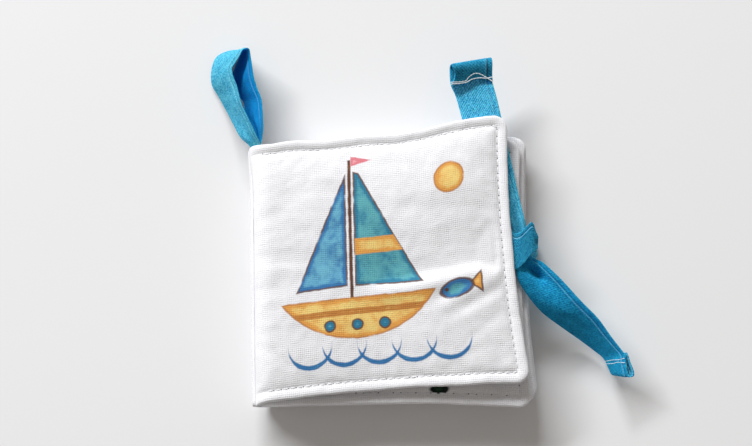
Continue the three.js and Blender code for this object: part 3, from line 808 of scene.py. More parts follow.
def leaf_print():
    """A sprig of leaves with berries, and one leaf low down that shows under the cover's edge, painted near
    black as the shade there.
    """
    made = Print("page_leaf_print")
    made.paint(made.polygon((56, 36), (58, 36), (61, -34), (59, -34)), SAND, BROWN)
    for x, y, tilt in ((46, 22, 140), (73, 14, 35), (46, -4, 150), (74, -12, 25)):
        made.paint(made.oval(x, y, 13.0, 5.5, tilt), LEAF_GREEN, DARK_GREEN, BROWN)
    # Painted shade: this leaf is darkened to near black where it lies in the shade under the cover's edge.
    made.paint(made.oval(82.2, -51.4, 4.3, 1.9, 6), SHADED_LEAF_GREEN, SHADED_LEAF_DARK)
    for x, y in ((58, 41), (40, 9), (82, 1)):
        made.paint(made.circle(x, y, 3.6), PINK, RED, BROWN)
    return made.done()


def ball_print():
    """A striped ball between two small ones."""
    made = Print("page_ball_print")
    for x, y, size in ((60, 0, 25), (96, -34, 8), (27, 36, 8)):
        ball = made.circle(x, y, size)
        made.paint(ball, TEAL, DEEP_TEAL, BROWN)
        made.paint(ball.math("MAXIMUM", abs(made.side(x, y, 25)) - 0.3 * size), YELLOW, ORANGE, RUST)
    return made.done()


PAGE_PITCH = 0.0020
COVER_PITCH = 0.0012
front_print = boat_print()
page_prints = [cloud_print(), ball_print(), leaf_print(), star_print()]
plain_cotton = Print("plain_cotton").done()
page_grid = PadGrid(PAGE_PITCH)
cover_grid = PadGrid(COVER_PITCH)
for index, leaf in enumerate(leaves.values()):
    is_cover = leaf.name.endswith("cover")
    grid = cover_grid if leaf.lifted else page_grid
    printed = [page_prints[(place - 2 * index) % len(page_prints)] for place in (2, 3)]
    upper, lower = (front_print, printed[1]) if leaf.lifted else printed
    mesh = pad_mesh(leaf, grid, index)
    pad = link(f"{leaf.name}_pad", mesh, upper, lower)
    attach(pad, leaf.name)
    faces = ("outer_fabric", "inner_fabric") if is_cover else ("front_fabric", "back_fabric")
    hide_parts(*(f"{leaf.name}_{face}" for face in faces))


# Topstitching runs round three sides of every leaf in white thread, on both faces. Each
# stitch is a short pad of thread that dips into its needle hole at both ends.
STITCH_LENGTH = 0.0028
STITCH_RADIUS = 0.00022
STITCH_SINK = 0.00012
STITCH_START = 0.0106
HOLE_RADIUS = 0.00027
GROOVE_HALF = 0.00052
STITCH_STEPS = np.array([-1.0, -0.86, -0.5, 0.0, 0.5, 0.86, 1.0])
STITCH_SIDES = 6
STITCH_BLUNTNESS = 6
STITCH_LEAST_SHARE = 0.02
STITCH_RISE_SHARE = 0.35
STITCH_DIP_SHARE = 3
STITCH_DIP_POWER = 4
STITCH_FLAT_SHARE = 0.8
CORNER_STEP = 15
THREAD_WHITE, THREAD_SHADE = (0.86, 0.86, 0.88), (0.66, 0.66, 0.70)
THREAD_STRANDS = (2400, 1.0)
THREAD_STRAND_SPAN = (0.3, 0.6)
THREAD_BUMP = 0.0001
THREAD_SHEEN = 0.2
# Painted shade: the dark of a needle hole, put on each stitch's ends and on a small disc over the hole.
NEEDLE_HOLE_SHADE = (0.06, 0.05, 0.06)
NEEDLE_HOLE_SHADE_SPAN = (0.78, 0.90)


def thread_finish(name, colour, shade):
    finish = Finish(name, roughness=0.55)
    place = finish.node("ShaderNodeTexCoord", {}, {}, "Object")
    strands = finish.noise(place, *THREAD_STRANDS)
    stitch = finish.node("ShaderNodeAttribute", CLOTH_ATTRIBUTE, {}, "Vector")
    end = abs(finish.axis(stitch, "X"))
    spun = finish.mix(shade, colour, finish.rise(strands, *THREAD_STRAND_SPAN))
    # Painted shade: the stitch's ends darken towards their needle holes.
    finish.set(Base_Color=finish.mix(spun, NEEDLE_HOLE_SHADE, finish.rise(end, *NEEDLE_HOLE_SHADE_SPAN)))
    finish.set(Sheen_Weight=THREAD_SHEEN)
    finish.bump(strands, THREAD_BUMP)
    return finish


white_thread = thread_finish("white_thread", THREAD_WHITE, THREAD_SHADE)


def resample(path, pitch):
    """Points along a path at an even pitch, each with its heading."""
    path = np.asarray(path, float)
    lengths = np.linalg.norm(np.diff(path, axis=0), axis=1)
    along = np.concatenate([[0], np.cumsum(lengths)])
    count = max(1, int(along[-1] // pitch))
    middles = (np.arange(count) + 0.5) * along[-1] / count

    def at(places):
        return np.stack([np.interp(places, along, axis) for axis in path.T], axis=-1)

    headings = at(middles + pitch / 4) - at(middles - pitch / 4)
    return at(middles), headings / np.linalg.norm(headings, axis=1, keepdims=True)


def stitch_row(
    name, place, path, finish, base,
    length=STITCH_LENGTH, radius=STITCH_RADIUS, pitch=STITCH_PITCH, holes=True,
):
    """Stitches along a path on flat cloth, put in space by place(first, second, height)."""
    points, headings = resample(path, pitch)
    steps = STITCH_STEPS
    around = np.arange(STITCH_SIDES) * 2 * math.pi / STITCH_SIDES
    swell = radius * np.sqrt(np.clip(1 - steps**STITCH_BLUNTNESS, STITCH_LEAST_SHARE, 1))
    sides = np.stack([-headings[:, 1], headings[:, 0]], axis=-1)
    flat = (
        points[:, None, None]
        + headings[:, None, None] * (steps * length / 2)[None, :, None, None]
        + sides[:, None, None] * (swell[:, None] * np.cos(around))[None, :, :, None]
    )
    dip = STITCH_SINK * STITCH_DIP_SHARE * steps**STITCH_DIP_POWER
    height = base + radius * STITCH_RISE_SHARE - dip
    height = height[:, None] + swell[:, None] * np.sin(around) * STITCH_FLAT_SHARE
    height = np.broadcast_to(height, flat.shape[:3])
    vertices = place(flat[..., 0], flat[..., 1], height).reshape(-1, 3)
    rows, ring = len(steps), len(around)
    faces = []
    for first in range(0, len(points) * rows * ring, rows * ring):
        for i in range(rows - 1):
            for j in range(ring):
                a, b = first + i * ring + j, first + i * ring + (j + 1) % ring
                faces.append((a, b, b + ring, a + ring))
        for start, order in ((first, -1), (first + (rows - 1) * ring, 1)):
            cap = [start + j for j in range(ring)][::order]
            faces.extend([(cap[0], cap[1], cap[2], cap[3]), (cap[0], cap[3], cap[4], cap[5])])
    run = steps[None, :, None, None] * [holes, 0, 0]
    run = np.broadcast_to(run, flat.shape[:3] + (3,)).reshape(-1, 3)
    # Painted shade: a small flat dark disc lies over each needle hole.
    if holes:
        rim = np.stack([np.cos(around), np.sin(around)], axis=-1) * HOLE_RADIUS
        hole_shade_discs = points[:, None] + headings[:, None] * pitch / 2 + rim[None]
        level = np.full(hole_shade_discs.shape[:2], base + HOLE_RADIUS / 4)
        hole_shade_discs = place(hole_shade_discs[..., 0], hole_shade_discs[..., 1], level).reshape(-1, 3)
        for start in range(len(vertices), len(vertices) + len(hole_shade_discs), ring):
            hole_shade_disc = [start + j for j in range(ring)]
            faces.extend([(hole_shade_disc[0], hole_shade_disc[1], hole_shade_disc[2], hole_shade_disc[3]), (hole_shade_disc[0], hole_shade_disc[3], hole_shade_disc[4], hole_shade_disc[5])])
        vertices = np.concatenate([vertices, hole_shade_discs])
        run = np.concatenate([run, np.tile([1.0, 0, 0], (len(hole_shade_discs), 1))])
    mesh = mesh_from(name, vertices, faces, cloth=run)
    return link(name, mesh, finish)


def stitch_path():
    """The stitching line of a leaf, from the tail side of its spine to the head side."""
    turn_radius = CORNER_RADIUS - STITCH_INSET
    edge, half = LEAF_LENGTH - STITCH_INSET, LEAF_HEIGHT / 2 - STITCH_INSET
    arc = [math.radians(angle) for angle in range(0, 91, CORNER_STEP)]
    centre_s, centre_v = edge - turn_radius, half - turn_radius
    bend = [(centre_s + turn_radius * math.cos(a), centre_v + turn_radius * math.sin(a)) for a in arc]
    head_side = [*bend, (STITCH_START, half)]
    return [(s, -v) for s, v in reversed(head_side)] + head_side


for leaf in leaves.values():
    outward = -1 if leaf.name == "back_cover" else 1
    for side, kind in ((outward, "needle"), (-outward, "bobbin")):
        def on_face(s, v, height, leaf=leaf, side=side):
            return leaf.place(s, v, side * height)

        row = stitch_row(f"{leaf.name}_{kind}_stitches", on_face, stitch_path(), white_thread, GROOVE_HALF)
        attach(row, leaf.name)
        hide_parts(f"{leaf.name}_{kind}_thread")


# Inside each leaf lies a clear film that crackles, and in the covers thin wadding too. They
# are the frame's own layers, sealed in by the cotton.
FILM_SHADE, FILM_LIGHT = (0.62, 0.66, 0.70), (0.80, 0.83, 0.86)
FILM_FOLDS, FILM_BUMP = (160, 3.0), 0.001
WADDING_SHADE, WADDING_LIGHT = (0.80, 0.79, 0.75), (0.92, 0.91, 0.88)
WADDING_FLUFF, WADDING_BUMP = (500, 4.0), 0.0006


def layer_finish(name, roughness, shade, light, unevenness, depth):
    finish = Finish(name, roughness=roughness)
    place = finish.node("ShaderNodeTexCoord", {}, {}, "Object")
    field = finish.noise(place, *unevenness)
    finish.set(Base_Color=finish.mix(shade, light, field))
    finish.bump(field, depth)
    return finish


film_finish = layer_finish("crinkle_film", 0.2, FILM_SHADE, FILM_LIGHT, FILM_FOLDS, FILM_BUMP)
wadding_finish = layer_finish("wadding", 1.0, WADDING_SHADE, WADDING_LIGHT, WADDING_FLUFF, WADDING_BUMP)
for name, node in frame["nodes"].items():
    for ending, finish in (("crinkle_film", film_finish), ("wadding", wadding_finish)):
        if name.endswith(ending):
            node.data.materials.clear()
            node.data.materials.append(finish.material)


# The three sheets of the book are folded into one another, and one row of stitches through
# all the folds holds the spine.
FOLD_LAYERS = [
    ("cover_sheet_fold", -0.00125, 0.00245, 0.00080),
    ("middle_sheet_fold", -0.00025, 0.00215, 0.00075),
    ("inner_sheet_fold", 0.00075, 0.00165, 0.00070),
]
FOLD_BULGE_SHARE = 0.42
FOLD_SECTION_POINTS = 13
FOLD_ROUND_POWER, FOLD_ROUND_LEAST = 8, 0.05
FOLD_WOBBLE = 0.00012
FOLD_WAVES, SPINE_WAVES = 300, 90
SPINE_ROWS = 60
FOLD_PULL = 0.0008


def fold_section(crest, reach, thickness):
    """The closed outline of one folded sheet, seen along the spine."""
    turns = np.linspace(-1, 1, FOLD_SECTION_POINTS)
    bulge = reach * FOLD_BULGE_SHARE
    middle = np.stack([crest + thickness / 2 + bulge * turns**2, reach * turns], axis=-1)
    lean = 2 * bulge * turns / reach
    outward = np.stack([-np.ones_like(lean), lean], axis=-1)
    outward /= np.linalg.norm(outward, axis=1, keepdims=True)
    round_off = np.sqrt(np.clip(1 - turns**FOLD_ROUND_POWER, FOLD_ROUND_LEAST, 1))
    round_off = round_off[:, None] * thickness / 2
    return np.concatenate([middle + outward * round_off, (middle - outward * round_off)[::-1]])


def swept(name, section, stations):
    """A closed section carried along the spine, with softly uneven cloth."""
    rings = []
    for v in stations:
        waves = [Vector((x * FOLD_WAVES, z * FOLD_WAVES, v * SPINE_WAVES)) for x, z in section]
        drift = [noise.noise(wave) * FOLD_WOBBLE for wave in waves]
        drawn, pulled = corner_draw(0, v)
        left, low = FOLD_PULL * pulled, CORNER_DRAW * drawn
        rings.append([
            (FOLD_AXIS.x + x + d - left, FOLD_AXIS.y + v - low, FOLD_AXIS.z + z)
            for (x, z), d in zip(section, drift)
        ])
    count = len(section)
    faces = [
        (i * count + j, i * count + (j + 1) % count, (i + 1) * count + (j + 1) % count, (i + 1) * count + j)
        for i in range(len(stations) - 1) for j in range(count)
    ]
    last = (len(stations) - 1) * count
    for j in range(count // 2 - 1):
        cap = (j, j + 1, count - 2 - j, count - 1 - j)
        faces.append(cap[::-1])
        faces.append(tuple(last + k for k in cap))
    flat = [(z, v, 0) for v in stations for x, z in section]
    return mesh_from(name, rings, faces, cloth=flat)


spine_lines = np.linspace(-LEAF_HEIGHT / 2, LEAF_HEIGHT / 2, SPINE_ROWS)
for name, crest, reach, thickness in FOLD_LAYERS:
    mesh = swept(f"{name}_cloth", fold_section(crest, reach, thickness), spine_lines)
    weld(mesh)
    fold = link(f"{name}_cloth", mesh, plain_cotton)
    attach(fold, "back_cover")
    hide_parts(name)

SPINE_STITCH_REACH = LEAF_HEIGHT / 2 - STITCH_INSET
SPINE_STITCH_FACES = (
    ("needle", FOLD_LAYERS[0][1], -1),
    ("bobbin", FOLD_LAYERS[2][1] + FOLD_LAYERS[2][3], 1),
)
for kind, crest, facing in SPINE_STITCH_FACES:
    def on_spine(across, v, height, crest=crest, facing=facing):
        x = FOLD_AXIS.x + crest + facing * height
        return np.stack(np.broadcast_arrays(x, FOLD_AXIS.y + v, FOLD_AXIS.z + across), axis=-1)

    path = [(0, -SPINE_STITCH_REACH), (0, SPINE_STITCH_REACH)]
    row = stitch_row(f"spine_{kind}_stitches", on_spine, path, white_thread, 0)
    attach(row, "back_cover")
    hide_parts(f"spine_{kind}_thread")


# The straps are tapes of blue twill, folded lengthwise and stitched along one edge. The carry
# loop is sewn into the head seam beside the spine, and a tie into each cover's fore-edge.
STRAP_WIDTH = 0.017
STRAP_THICKNESS = 0.0012
SEWN_DEPTH = 0.0055
SEAM_EASE = 0.005
LOOP_SEAM_PLACE = 0.0066
LOOP_SEWN_HALF = 0.0029
LOOP_LAYER = 0.0002
TUCK_CLEAR = 0.0003
TUCK_DEPTH = LEAF_THICKNESS / 2 + TUCK_CLEAR + STRAP_THICKNESS / 2
TUCK_SAG = 0.02
TAPE_THICKNESS = 0.0009
TAPE_BAND = 0.0026
TAPE_LAP = 0.00022
TAPE_STEP = 0.0009
SEWN_PRESS = 0.35
STATION_STEPS = 40
GATHER_FOLDS = 1.6
LOOP_GATHER, FRONT_GATHER, BACK_GATHER = 0.0004, 0.0006, 0.0012
SPARE_SPAN, SPARE_MOST = (0.15, 1.1), 1.2
CALM_BEND, CALM_POWER = 0.0040, 4
CALM_END = (0.030, 0.016)
WANDER_START = 50
SLOW_WANDER, SLOW_WANDER_WAVES = 0.9, 95
FAST_WANDER, FAST_WANDER_WAVES = 0.5, 230
LEAST_GAP = 3e-6
PLAIN_GAP = math.sqrt(0.001)


def smooth_path(points, places):
    """A centripetal Catmull-Rom curve through points, at places counted in points."""
    points = np.asarray(points, float)
    guide = np.concatenate([[2 * points[0] - points[1]], points, [2 * points[-1] - points[-2]]])
    first = np.clip(np.floor(places).astype(int), 0, len(points) - 2)
    share = (places - first)[:, None]
    corners = [guide[first + step] for step in range(4)]
    gaps = [np.linalg.norm(b - a, axis=1, keepdims=True) ** 0.5 for a, b in zip(corners, corners[1:])]
    gaps[1] = np.where(gaps[1] < LEAST_GAP, PLAIN_GAP, gaps[1])
    before, within, after = (np.where(gap < LEAST_GAP, gaps[1], gap) for gap in gaps)
    p0, p1, p2, p3 = corners
    leave = within * ((p1 - p0) / before - (p2 - p0) / (before + within) + (p2 - p1) / within)
    arrive = within * ((p2 - p1) / within - (p3 - p1) / (within + after) + (p3 - p2) / after)
    square = 3 * (p2 - p1) - 2 * leave - arrive
    cube = 2 * (p1 - p2) + leave + arrive
    return p1 + leave * share + square * share**2 + cube * share**3


class Strap:
    """A tape laid through stations: each has its centre and half its width across."""

    def __init__(self, stations, gather, sewn_twice=False, hollows=()):
        self.gather_limit = gather
        self.hollows = hollows
        self.sewn_twice = sewn_twice
        centres, acrosses = zip(*stations)
        spans = len(stations) - 1
        places = np.linspace(0, spans, spans * STATION_STEPS + 1)
        self.middle = smooth_path(centres, places)
        self.across = smooth_path(acrosses, places)
        steps = np.linalg.norm(np.diff(self.middle, axis=0), axis=1)
        self.run = np.concatenate([[0], np.cumsum(steps)])
        self.length = self.run[-1]
        heading = np.gradient(self.middle, self.run, axis=0)
        turning = np.linalg.norm(np.gradient(heading, self.run, axis=0), axis=1)
        self.calm = 1 / (1 + (turning * CALM_BEND) ** CALM_POWER)
        normal = np.cross(np.gradient(self.middle, axis=0), self.across)
        self.normal = normal / np.linalg.norm(normal, axis=1, keepdims=True)

    def read(self, field, along):
        """A field of the route at some lengths along it."""
        return np.stack([np.interp(along, self.run, axis) for axis in field.T], axis=-1)

    def free(self, along):
        """0 where the tape is pressed in its seam, 1 where it lies free."""
        out = step_up(along, SEWN_DEPTH, SEWN_DEPTH + SEAM_EASE)
        if self.sewn_twice:
            end = self.length - SEWN_DEPTH
            out = out * (1 - step_up(along, end - SEAM_EASE, end))
        return out

    def gather(self, along, aside):
        """Lengthwise folds, where the tape lies narrower than it was woven."""
        half = np.linalg.norm(self.read(self.across, along), axis=-1)
        spare = np.clip(STRAP_WIDTH / (2 * half) - 1, 0, SPARE_MOST)
        depth = self.gather_limit * step_up(spare, *SPARE_SPAN)
        if not self.sewn_twice:
            calmed = (self.length - before_end for before_end in CALM_END)
            depth = depth * (1 - step_up(along, *calmed))
        depth = depth * np.interp(along, self.run, self.calm)
        wander = SLOW_WANDER * np.sin(along * SLOW_WANDER_WAVES + self.length * WANDER_START)
        wander = wander + FAST_WANDER * np.sin(along * FAST_WANDER_WAVES)
        return depth * self.free(along) * np.sin(GATHER_FOLDS * math.pi * aside + wander)

    def place(self, along, aside, height):
        along, aside, height = np.broadcast_arrays(along, aside, height)
        middle, across = self.read(self.middle, along), self.read(self.across, along)
        pressed = SEWN_PRESS + (1 - SEWN_PRESS) * self.free(along)
        lift = height * pressed + self.gather(along, aside)
        for station, to_side, reach, half, depth in self.hollows:
            past = (along - self.run[int(station * STATION_STEPS)]) / reach
            lift = lift - depth * np.exp(-(past**2) - ((aside - to_side) / half) ** 2)
        return middle + across * aside[..., None] + self.read(self.normal, along) * lift[..., None]


def leaf_station(leaf, s, v, w, ds, dv):
    """A station on a leaf, from its centre to half the tape's width away by ds and dv."""
    centre = leaf.place(s, v, w)
    far, near = leaf.place(s + ds, v + dv, w), leaf.place(s - ds, v - dv, w)
    return (centre + (far + near) / 2) / 2, (far - near) / 2


def seen_place(column, row, height):
    """The place, at a height in millimetres, that the photograph shows at a pixel."""
    aim = camera_axes @ Vector((column - IMAGE_WIDTH / 2, IMAGE_HEIGHT / 2 - row, -FOCAL_PIXELS))
    return np.array(camera_place + aim * ((height / MILLIMETRES_IN_METRE - camera_place.z) / aim.z))


def seen_stations(edges):
    """Stations from both edges of a tape, each as its pixel and its height in millimetres."""
    stations = []
    for row in edges:
        left, right = seen_place(*row[:3]), seen_place(*row[3:])
        stations.append(((left + right) / 2, (right - left) / 2))
    return stations


# Both edges of each strap are read off the photograph. A row is one edge's column, row
# and guessed height in millimetres, then the other edge's.
cover, back_cover = leaves["front_cover"], leaves["back_cover"]
LOOP_EDGES = [
    (241, 138.5, 11.5, 254, 129.5, 18.0),
    (233, 123, 6.5, 247.3, 116, 18.2),
    (226, 109.5, 3.4, 241, 102, 17.6),
    (218.3, 95.5, 1.6, 237, 86.5, 16.0),
    (212, 84.5, 1.2, 232.6, 74, 14.8),
    (211.9, 70, 1.2, 232.2, 68, 14.0),
    (216.2, 58, 1.2, 235.6, 62.3, 14.4),
    (222.5, 53.6, 1.2, 239.0, 57.2, 15.4),
    (234.5, 50.9, 1.2, 243.0, 49.6, 16.8),
    (240.8, 54, 1.4, 248.3, 48.2, 17.2),
    (236, 66, 1.6, 250.6, 57, 15.8),
    (231.5, 80.5, 2.8, 252.8, 72, 15.8),
    (236.2, 93, 3.4, 256.5, 86.5, 16.2),
    (243.6, 102, 5.0, 261.2, 99, 17.6),
    (245.4, 112, 8.0, 262.6, 112, 18.4),
    (250.6, 124.5, 12.0, 262.6, 125, 18.4),
    (256.5, 137, 14.5, 262.0, 135.5, 17.2),
]


def loop_end(beyond, w):
    return leaf_station(cover, LOOP_SEAM_PLACE, LEAF_HEIGHT / 2 + beyond, w, LOOP_SEWN_HALF, 0)


carry_loop = Strap([
    loop_end(-SEWN_DEPTH, LOOP_LAYER),
    loop_end(0, LOOP_LAYER),
    *seen_stations(LOOP_EDGES),
    loop_end(0, -LOOP_LAYER),
    loop_end(-SEWN_DEPTH, -LOOP_LAYER),
], LOOP_GATHER, sewn_twice=True)

# The front tie crosses over the back one, turns under it and tucks in under the front cover.
# The back tie climbs the fore-edges, passes through that wrap and falls away to the table.
FRONT_TIE_SEAM_PLACE = -0.001
BACK_TIE_SEAM_PLACE = 0.008
WRAP_EDGES = [
    (517.5, 268.5, 20.6, 514.5, 233.2, 21.0),
    (523.5, 264, 20.9, 521, 231.8, 21.6),
    (529, 257, 21.2, 527.0, 226.0, 21.6),
    (533.4, 252.5, 20.8, 531.8, 222.0, 21.2),
    (536.8, 247.5, 18.2, 537.6, 236.0, 18.4),
    (531, 246.5, 15.2, 532.0, 236, 15.4),
    (518, 246, 16.6, 525.5, 238, 16.8),
    (511.5, 232, 17.9, 526.2, 228.0, 17.6),
]
TUCK_SHARES = [(0.993, 0.17, 0.36), (0.960, 0.28, 0.46), (0.907, 0.507, 0.5)]
FRONT_HEM_EDGES = [
    (455.3, 95.5, 18.4, 494, 88.5, 18.2),
    (450.8, 85.5, 20.4, 491.9, 81.2, 17.4),
    (449.3, 66, 21.2, 488.4, 59.5, 16.2),
]
CLIMB_EDGES = [
    (534.6, 264, 3.2, 536.0, 237, 3.2),
    (533.4, 258, 8, 534.6, 238, 8),
    (532.8, 253, 11.6, 534.2, 238, 11.6),
    (533.0, 245, 13.8, 533.6, 236, 13.8),
    (533, 238.5, 15.6, 533.2, 228.5, 15.6),
    (528.0, 236, 17.2, 531.5, 229.5, 17.2),
    (522, 240.5, 18.0, 531.5, 235.5, 18.0),
    (518, 248, 18.4, 530.5, 246, 18.4),
    (515.4, 265.5, 19.3, 531.5, 256.5, 17.6),
    (517.6, 279, 18.9, 543, 262.5, 17.8),
    (526.5, 294, 16.6, 559.6, 277.8, 17.6),
    (541.2, 311.5, 12.0, 580.4, 300.4, 16.8),
    (558, 324.5, 7.4, 598, 318.5, 15.2),
    (576, 337, 4.0, 611, 336.5, 13.4),
    (592.5, 349, 3.2, 619.5, 347.5, 13.0),
    (604, 358.3, 3.4, 625, 355.5, 13.4),
    (608.5, 366.5, 3.6, 626, 365.5, 13.8),
    (612.5, 375.3, 3.8, 628.3, 377.8, 14.0),
]


def tuck_station(index):
    """A station of the front tie where it runs under the front cover towards the head."""
    s_share, v_share, width_share = TUCK_SHARES[index]
    from_s, from_v = TUCK_SHARES[max(index - 1, 0)][:2]
    to_s, to_v = TUCK_SHARES[min(index + 1, len(TUCK_SHARES) - 1)][:2]
    run_s, run_v = (to_s - from_s) * LEAF_LENGTH, (to_v - from_v) * LEAF_HEIGHT
    half = width_share * STRAP_WIDTH / math.hypot(run_s, run_v)
    past = max(0, v_share - 1 / 2) * LEAF_HEIGHT
    depth = TUCK_DEPTH + past * past * TUCK_SAG / STRAP_WIDTH
    s, v = s_share * LEAF_LENGTH, v_share * LEAF_HEIGHT
    return leaf_station(cover, s, v, -depth, run_v * half, -run_s * half)


def tie_end(leaf, seam_place, beyond):
    return leaf_station(leaf, LEAF_LENGTH + beyond, seam_place, 0, 0, STRAP_WIDTH / 2)


# A hollow is its station, its place aside, its reach along, its reach aside and its depth.
KNOT_HOLLOW = (11.25, 0.24, 0.0058, 0.27, 0.0046)
TAIL_SWELL = (12.95, -0.15, 0.0092, 0.50, -0.0022)
front_tie = Strap([
    tie_end(cover, FRONT_TIE_SEAM_PLACE, -SEWN_DEPTH),
    tie_end(cover, FRONT_TIE_SEAM_PLACE, 0),
    *seen_stations(WRAP_EDGES),
    *(tuck_station(index) for index in range(len(TUCK_SHARES))),
    *seen_stations(FRONT_HEM_EDGES),
], FRONT_GATHER)
back_tie = Strap([
    tie_end(back_cover, BACK_TIE_SEAM_PLACE, -SEWN_DEPTH),
    tie_end(back_cover, BACK_TIE_SEAM_PLACE, 0),
    *seen_stations(CLIMB_EDGES),
], BACK_GATHER, hollows=[KNOT_HOLLOW, TAIL_SWELL])

# The tape's stitched edge: the ridge beside its seam, from the band's line and the tape's face,
# the groove of the seam, and the two lips, from the edge and as a share of their height.
TAPE_RIDGE = ((-0.0005, 0.00008), (-0.00022, 0.0001), (-0.00006, 0))
TAPE_GROOVE = ((0, -0.00008), (0.0003, -0.00004), (0.0009, 0))
TAPE_LIP = ((-0.0008, 1), (-0.0003, 1), (0, 0.8), (0.0001, 0.45), (-0.0003, 0))
TAPE_FLAT_START, TAPE_FLAT_END, TAPE_FLAT_POINTS = 0.0009, 0.0008, 23
TAPE_FOLD_POINTS = 4
HEM_BOW_PLACE, HEM_BOW_HALF = 0.25, 0.45
HEM_TURN_POINTS, HEM_FLAP_POINTS = 9, 12
HEM_THICKEN_BEFORE, HEM_THICKEN_AFTER = 0.001, 0.002
FACE_OVERRUN = 0.0012


def tape_section():
    """The closed outline of the tape: a rounded fold on one side, two stitched lips on the other."""
    half, edge = TAPE_THICKNESS / 2, STRAP_WIDTH / 2
    band, lap = edge - TAPE_BAND, half - TAPE_LAP
    angles = np.linspace(0, math.pi / 2, TAPE_FOLD_POINTS)
    folded = [(-edge + half * (1 - math.cos(a)), half * math.sin(a)) for a in angles]
    level = np.linspace(TAPE_FLAT_START - edge, band - TAPE_FLAT_END, TAPE_FLAT_POINTS)
    flat = [(a, half) for a in level]
    ridge = [(band + a, half + h) for a, h in TAPE_RIDGE]
    groove = [(band + a, lap + h) for a, h in TAPE_GROOVE]
    lip = [(edge + a, lap * share) for a, share in TAPE_LIP]
    upper = [*folded, *flat, *ridge, *groove, *lip]
    lower = [(a, -h) for a, h in reversed(upper)]
    return np.array([*upper, *lower[1:-1]])


def flap_lie(share, roll, plump):
    """How far the turned-over flap stands from the tape, from its roll (0) to its raw edge (1)."""
    lie = TAPE_THICKNESS * plump
    return 2 * roll + (lie - 2 * roll) * step_up(share, 0, 1)


def hem_bow(aside):
    """The raw edge bows away where the tape was held too tight."""
    return np.exp(-(((aside - HEM_BOW_PLACE) / HEM_BOW_HALF) ** 2))


def hem_path(length, hem, roll, turn, plump):
    """The tape seen from its edge: straight, then turned over; with how far along the flap."""
    straight = [(a, 0.0, 0.0) for a in even_lines(0, length - roll, TAPE_STEP)]
    if not hem:
        return np.array(straight)
    angles = np.linspace(0, math.pi, HEM_TURN_POINTS)[1:]
    end = length - roll
    turned = [(end + roll * math.sin(a), turn * roll * (1 - math.cos(a)), 0.0) for a in angles]
    shares = np.linspace(0, 1, HEM_FLAP_POINTS)[1:]
    flap = [(end - (hem - roll) * s, turn * flap_lie(s, roll, plump), s) for s in shares]
    return np.array([*straight, *turned, *flap])


def tape_mesh(name, strap, hem=0.0, roll=0.0, turn=1, plump=1.0, bow=0.0, mouth=0.0):
    """A strap's cloth. Its hem has a length, a roll, a side it turns to and a thickness share;
    its raw edge bows away, and its flap gapes at one side by the mouth."""
    path = hem_path(strap.length, hem, roll, turn, plump)
    section = tape_section()
    ahead = np.gradient(path[:, :2], axis=0)
    ahead /= np.linalg.norm(ahead, axis=1, keepdims=True)
    hem_line = strap.length - hem
    hemmed = step_up(path[:, 0], hem_line - HEM_THICKEN_BEFORE, hem_line + HEM_THICKEN_AFTER)
    thick = (1 + (plump - 1) * hemmed)[:, None] * section[None, :, 1]
    aside = np.broadcast_to(section[None, :, 0] / (STRAP_WIDTH / 2), thick.shape)
    aside = aside + mouth * np.sin(math.pi * path[:, 2, None]) * np.clip(-aside, 0, 1) ** 3
    along = path[:, 0, None] - ahead[:, 1, None] * thick
    along = along + bow * path[:, 2, None] ** 3 * hem_bow(aside)
    height = path[:, 1, None] + ahead[:, 0, None] * thick
    points = strap.place(along, aside, height)
    rows, ring = along.shape
    at = np.arange(rows * ring).reshape(rows, ring)
    ahead_ring = np.roll(at, -1, axis=1)
    faces = np.stack([at[:-1], at[1:], ahead_ring[1:], ahead_ring[:-1]], axis=-1)
    faces = faces.reshape(-1, 4).tolist()
    # Painted shade: inside the front tie's hem, past FACE_OVERRUN, the face side takes the back's deep
    # colour, so that the hem's open mouth shows dark.
    shown_pale = path[:-1, 0] < strap.length - (hem - FACE_OVERRUN if mouth else 0)
    sides = (shown_pale[:, None] & (np.arange(ring) >= ring // 2)[None, :]).ravel().tolist()
    for first in (0, (rows - 1) * ring):
        for j in range(ring // 2):
            cap = (j, j + 1, (ring - 1 - j) % ring, (ring - j) % ring)
            faces.append(tuple(first + k for k in cap))
            sides.append(False)
    steps = np.linalg.norm(np.diff(path[:, :2], axis=0), axis=1)
    worn = np.broadcast_to(np.concatenate([[0], np.cumsum(steps)])[:, None], along.shape)
    cloth = np.stack([worn, aside * STRAP_WIDTH / 2, 0 * along], axis=-1)
    mesh = mesh_from(name, points, faces, cloth.reshape(-1, 3), sides)
    weld(mesh)
    return mesh


TWILL_PITCH = 0.0012
TWILL_PHASE = 2 * math.pi / TWILL_PITCH
TWILL_DRIFT, TWILL_DRIFT_SIZE = (160, 2.0), 2.0
TWILL_WEAR, TWILL_FIBRES = (260, 4.0), (1300, 1.0)
RIB_SHARE, WEAR_SHARE, FIBRE_SHARE = 0.24, 0.6, 1.1
TWILL_TONE_SPAN = (0.66, 1.28)
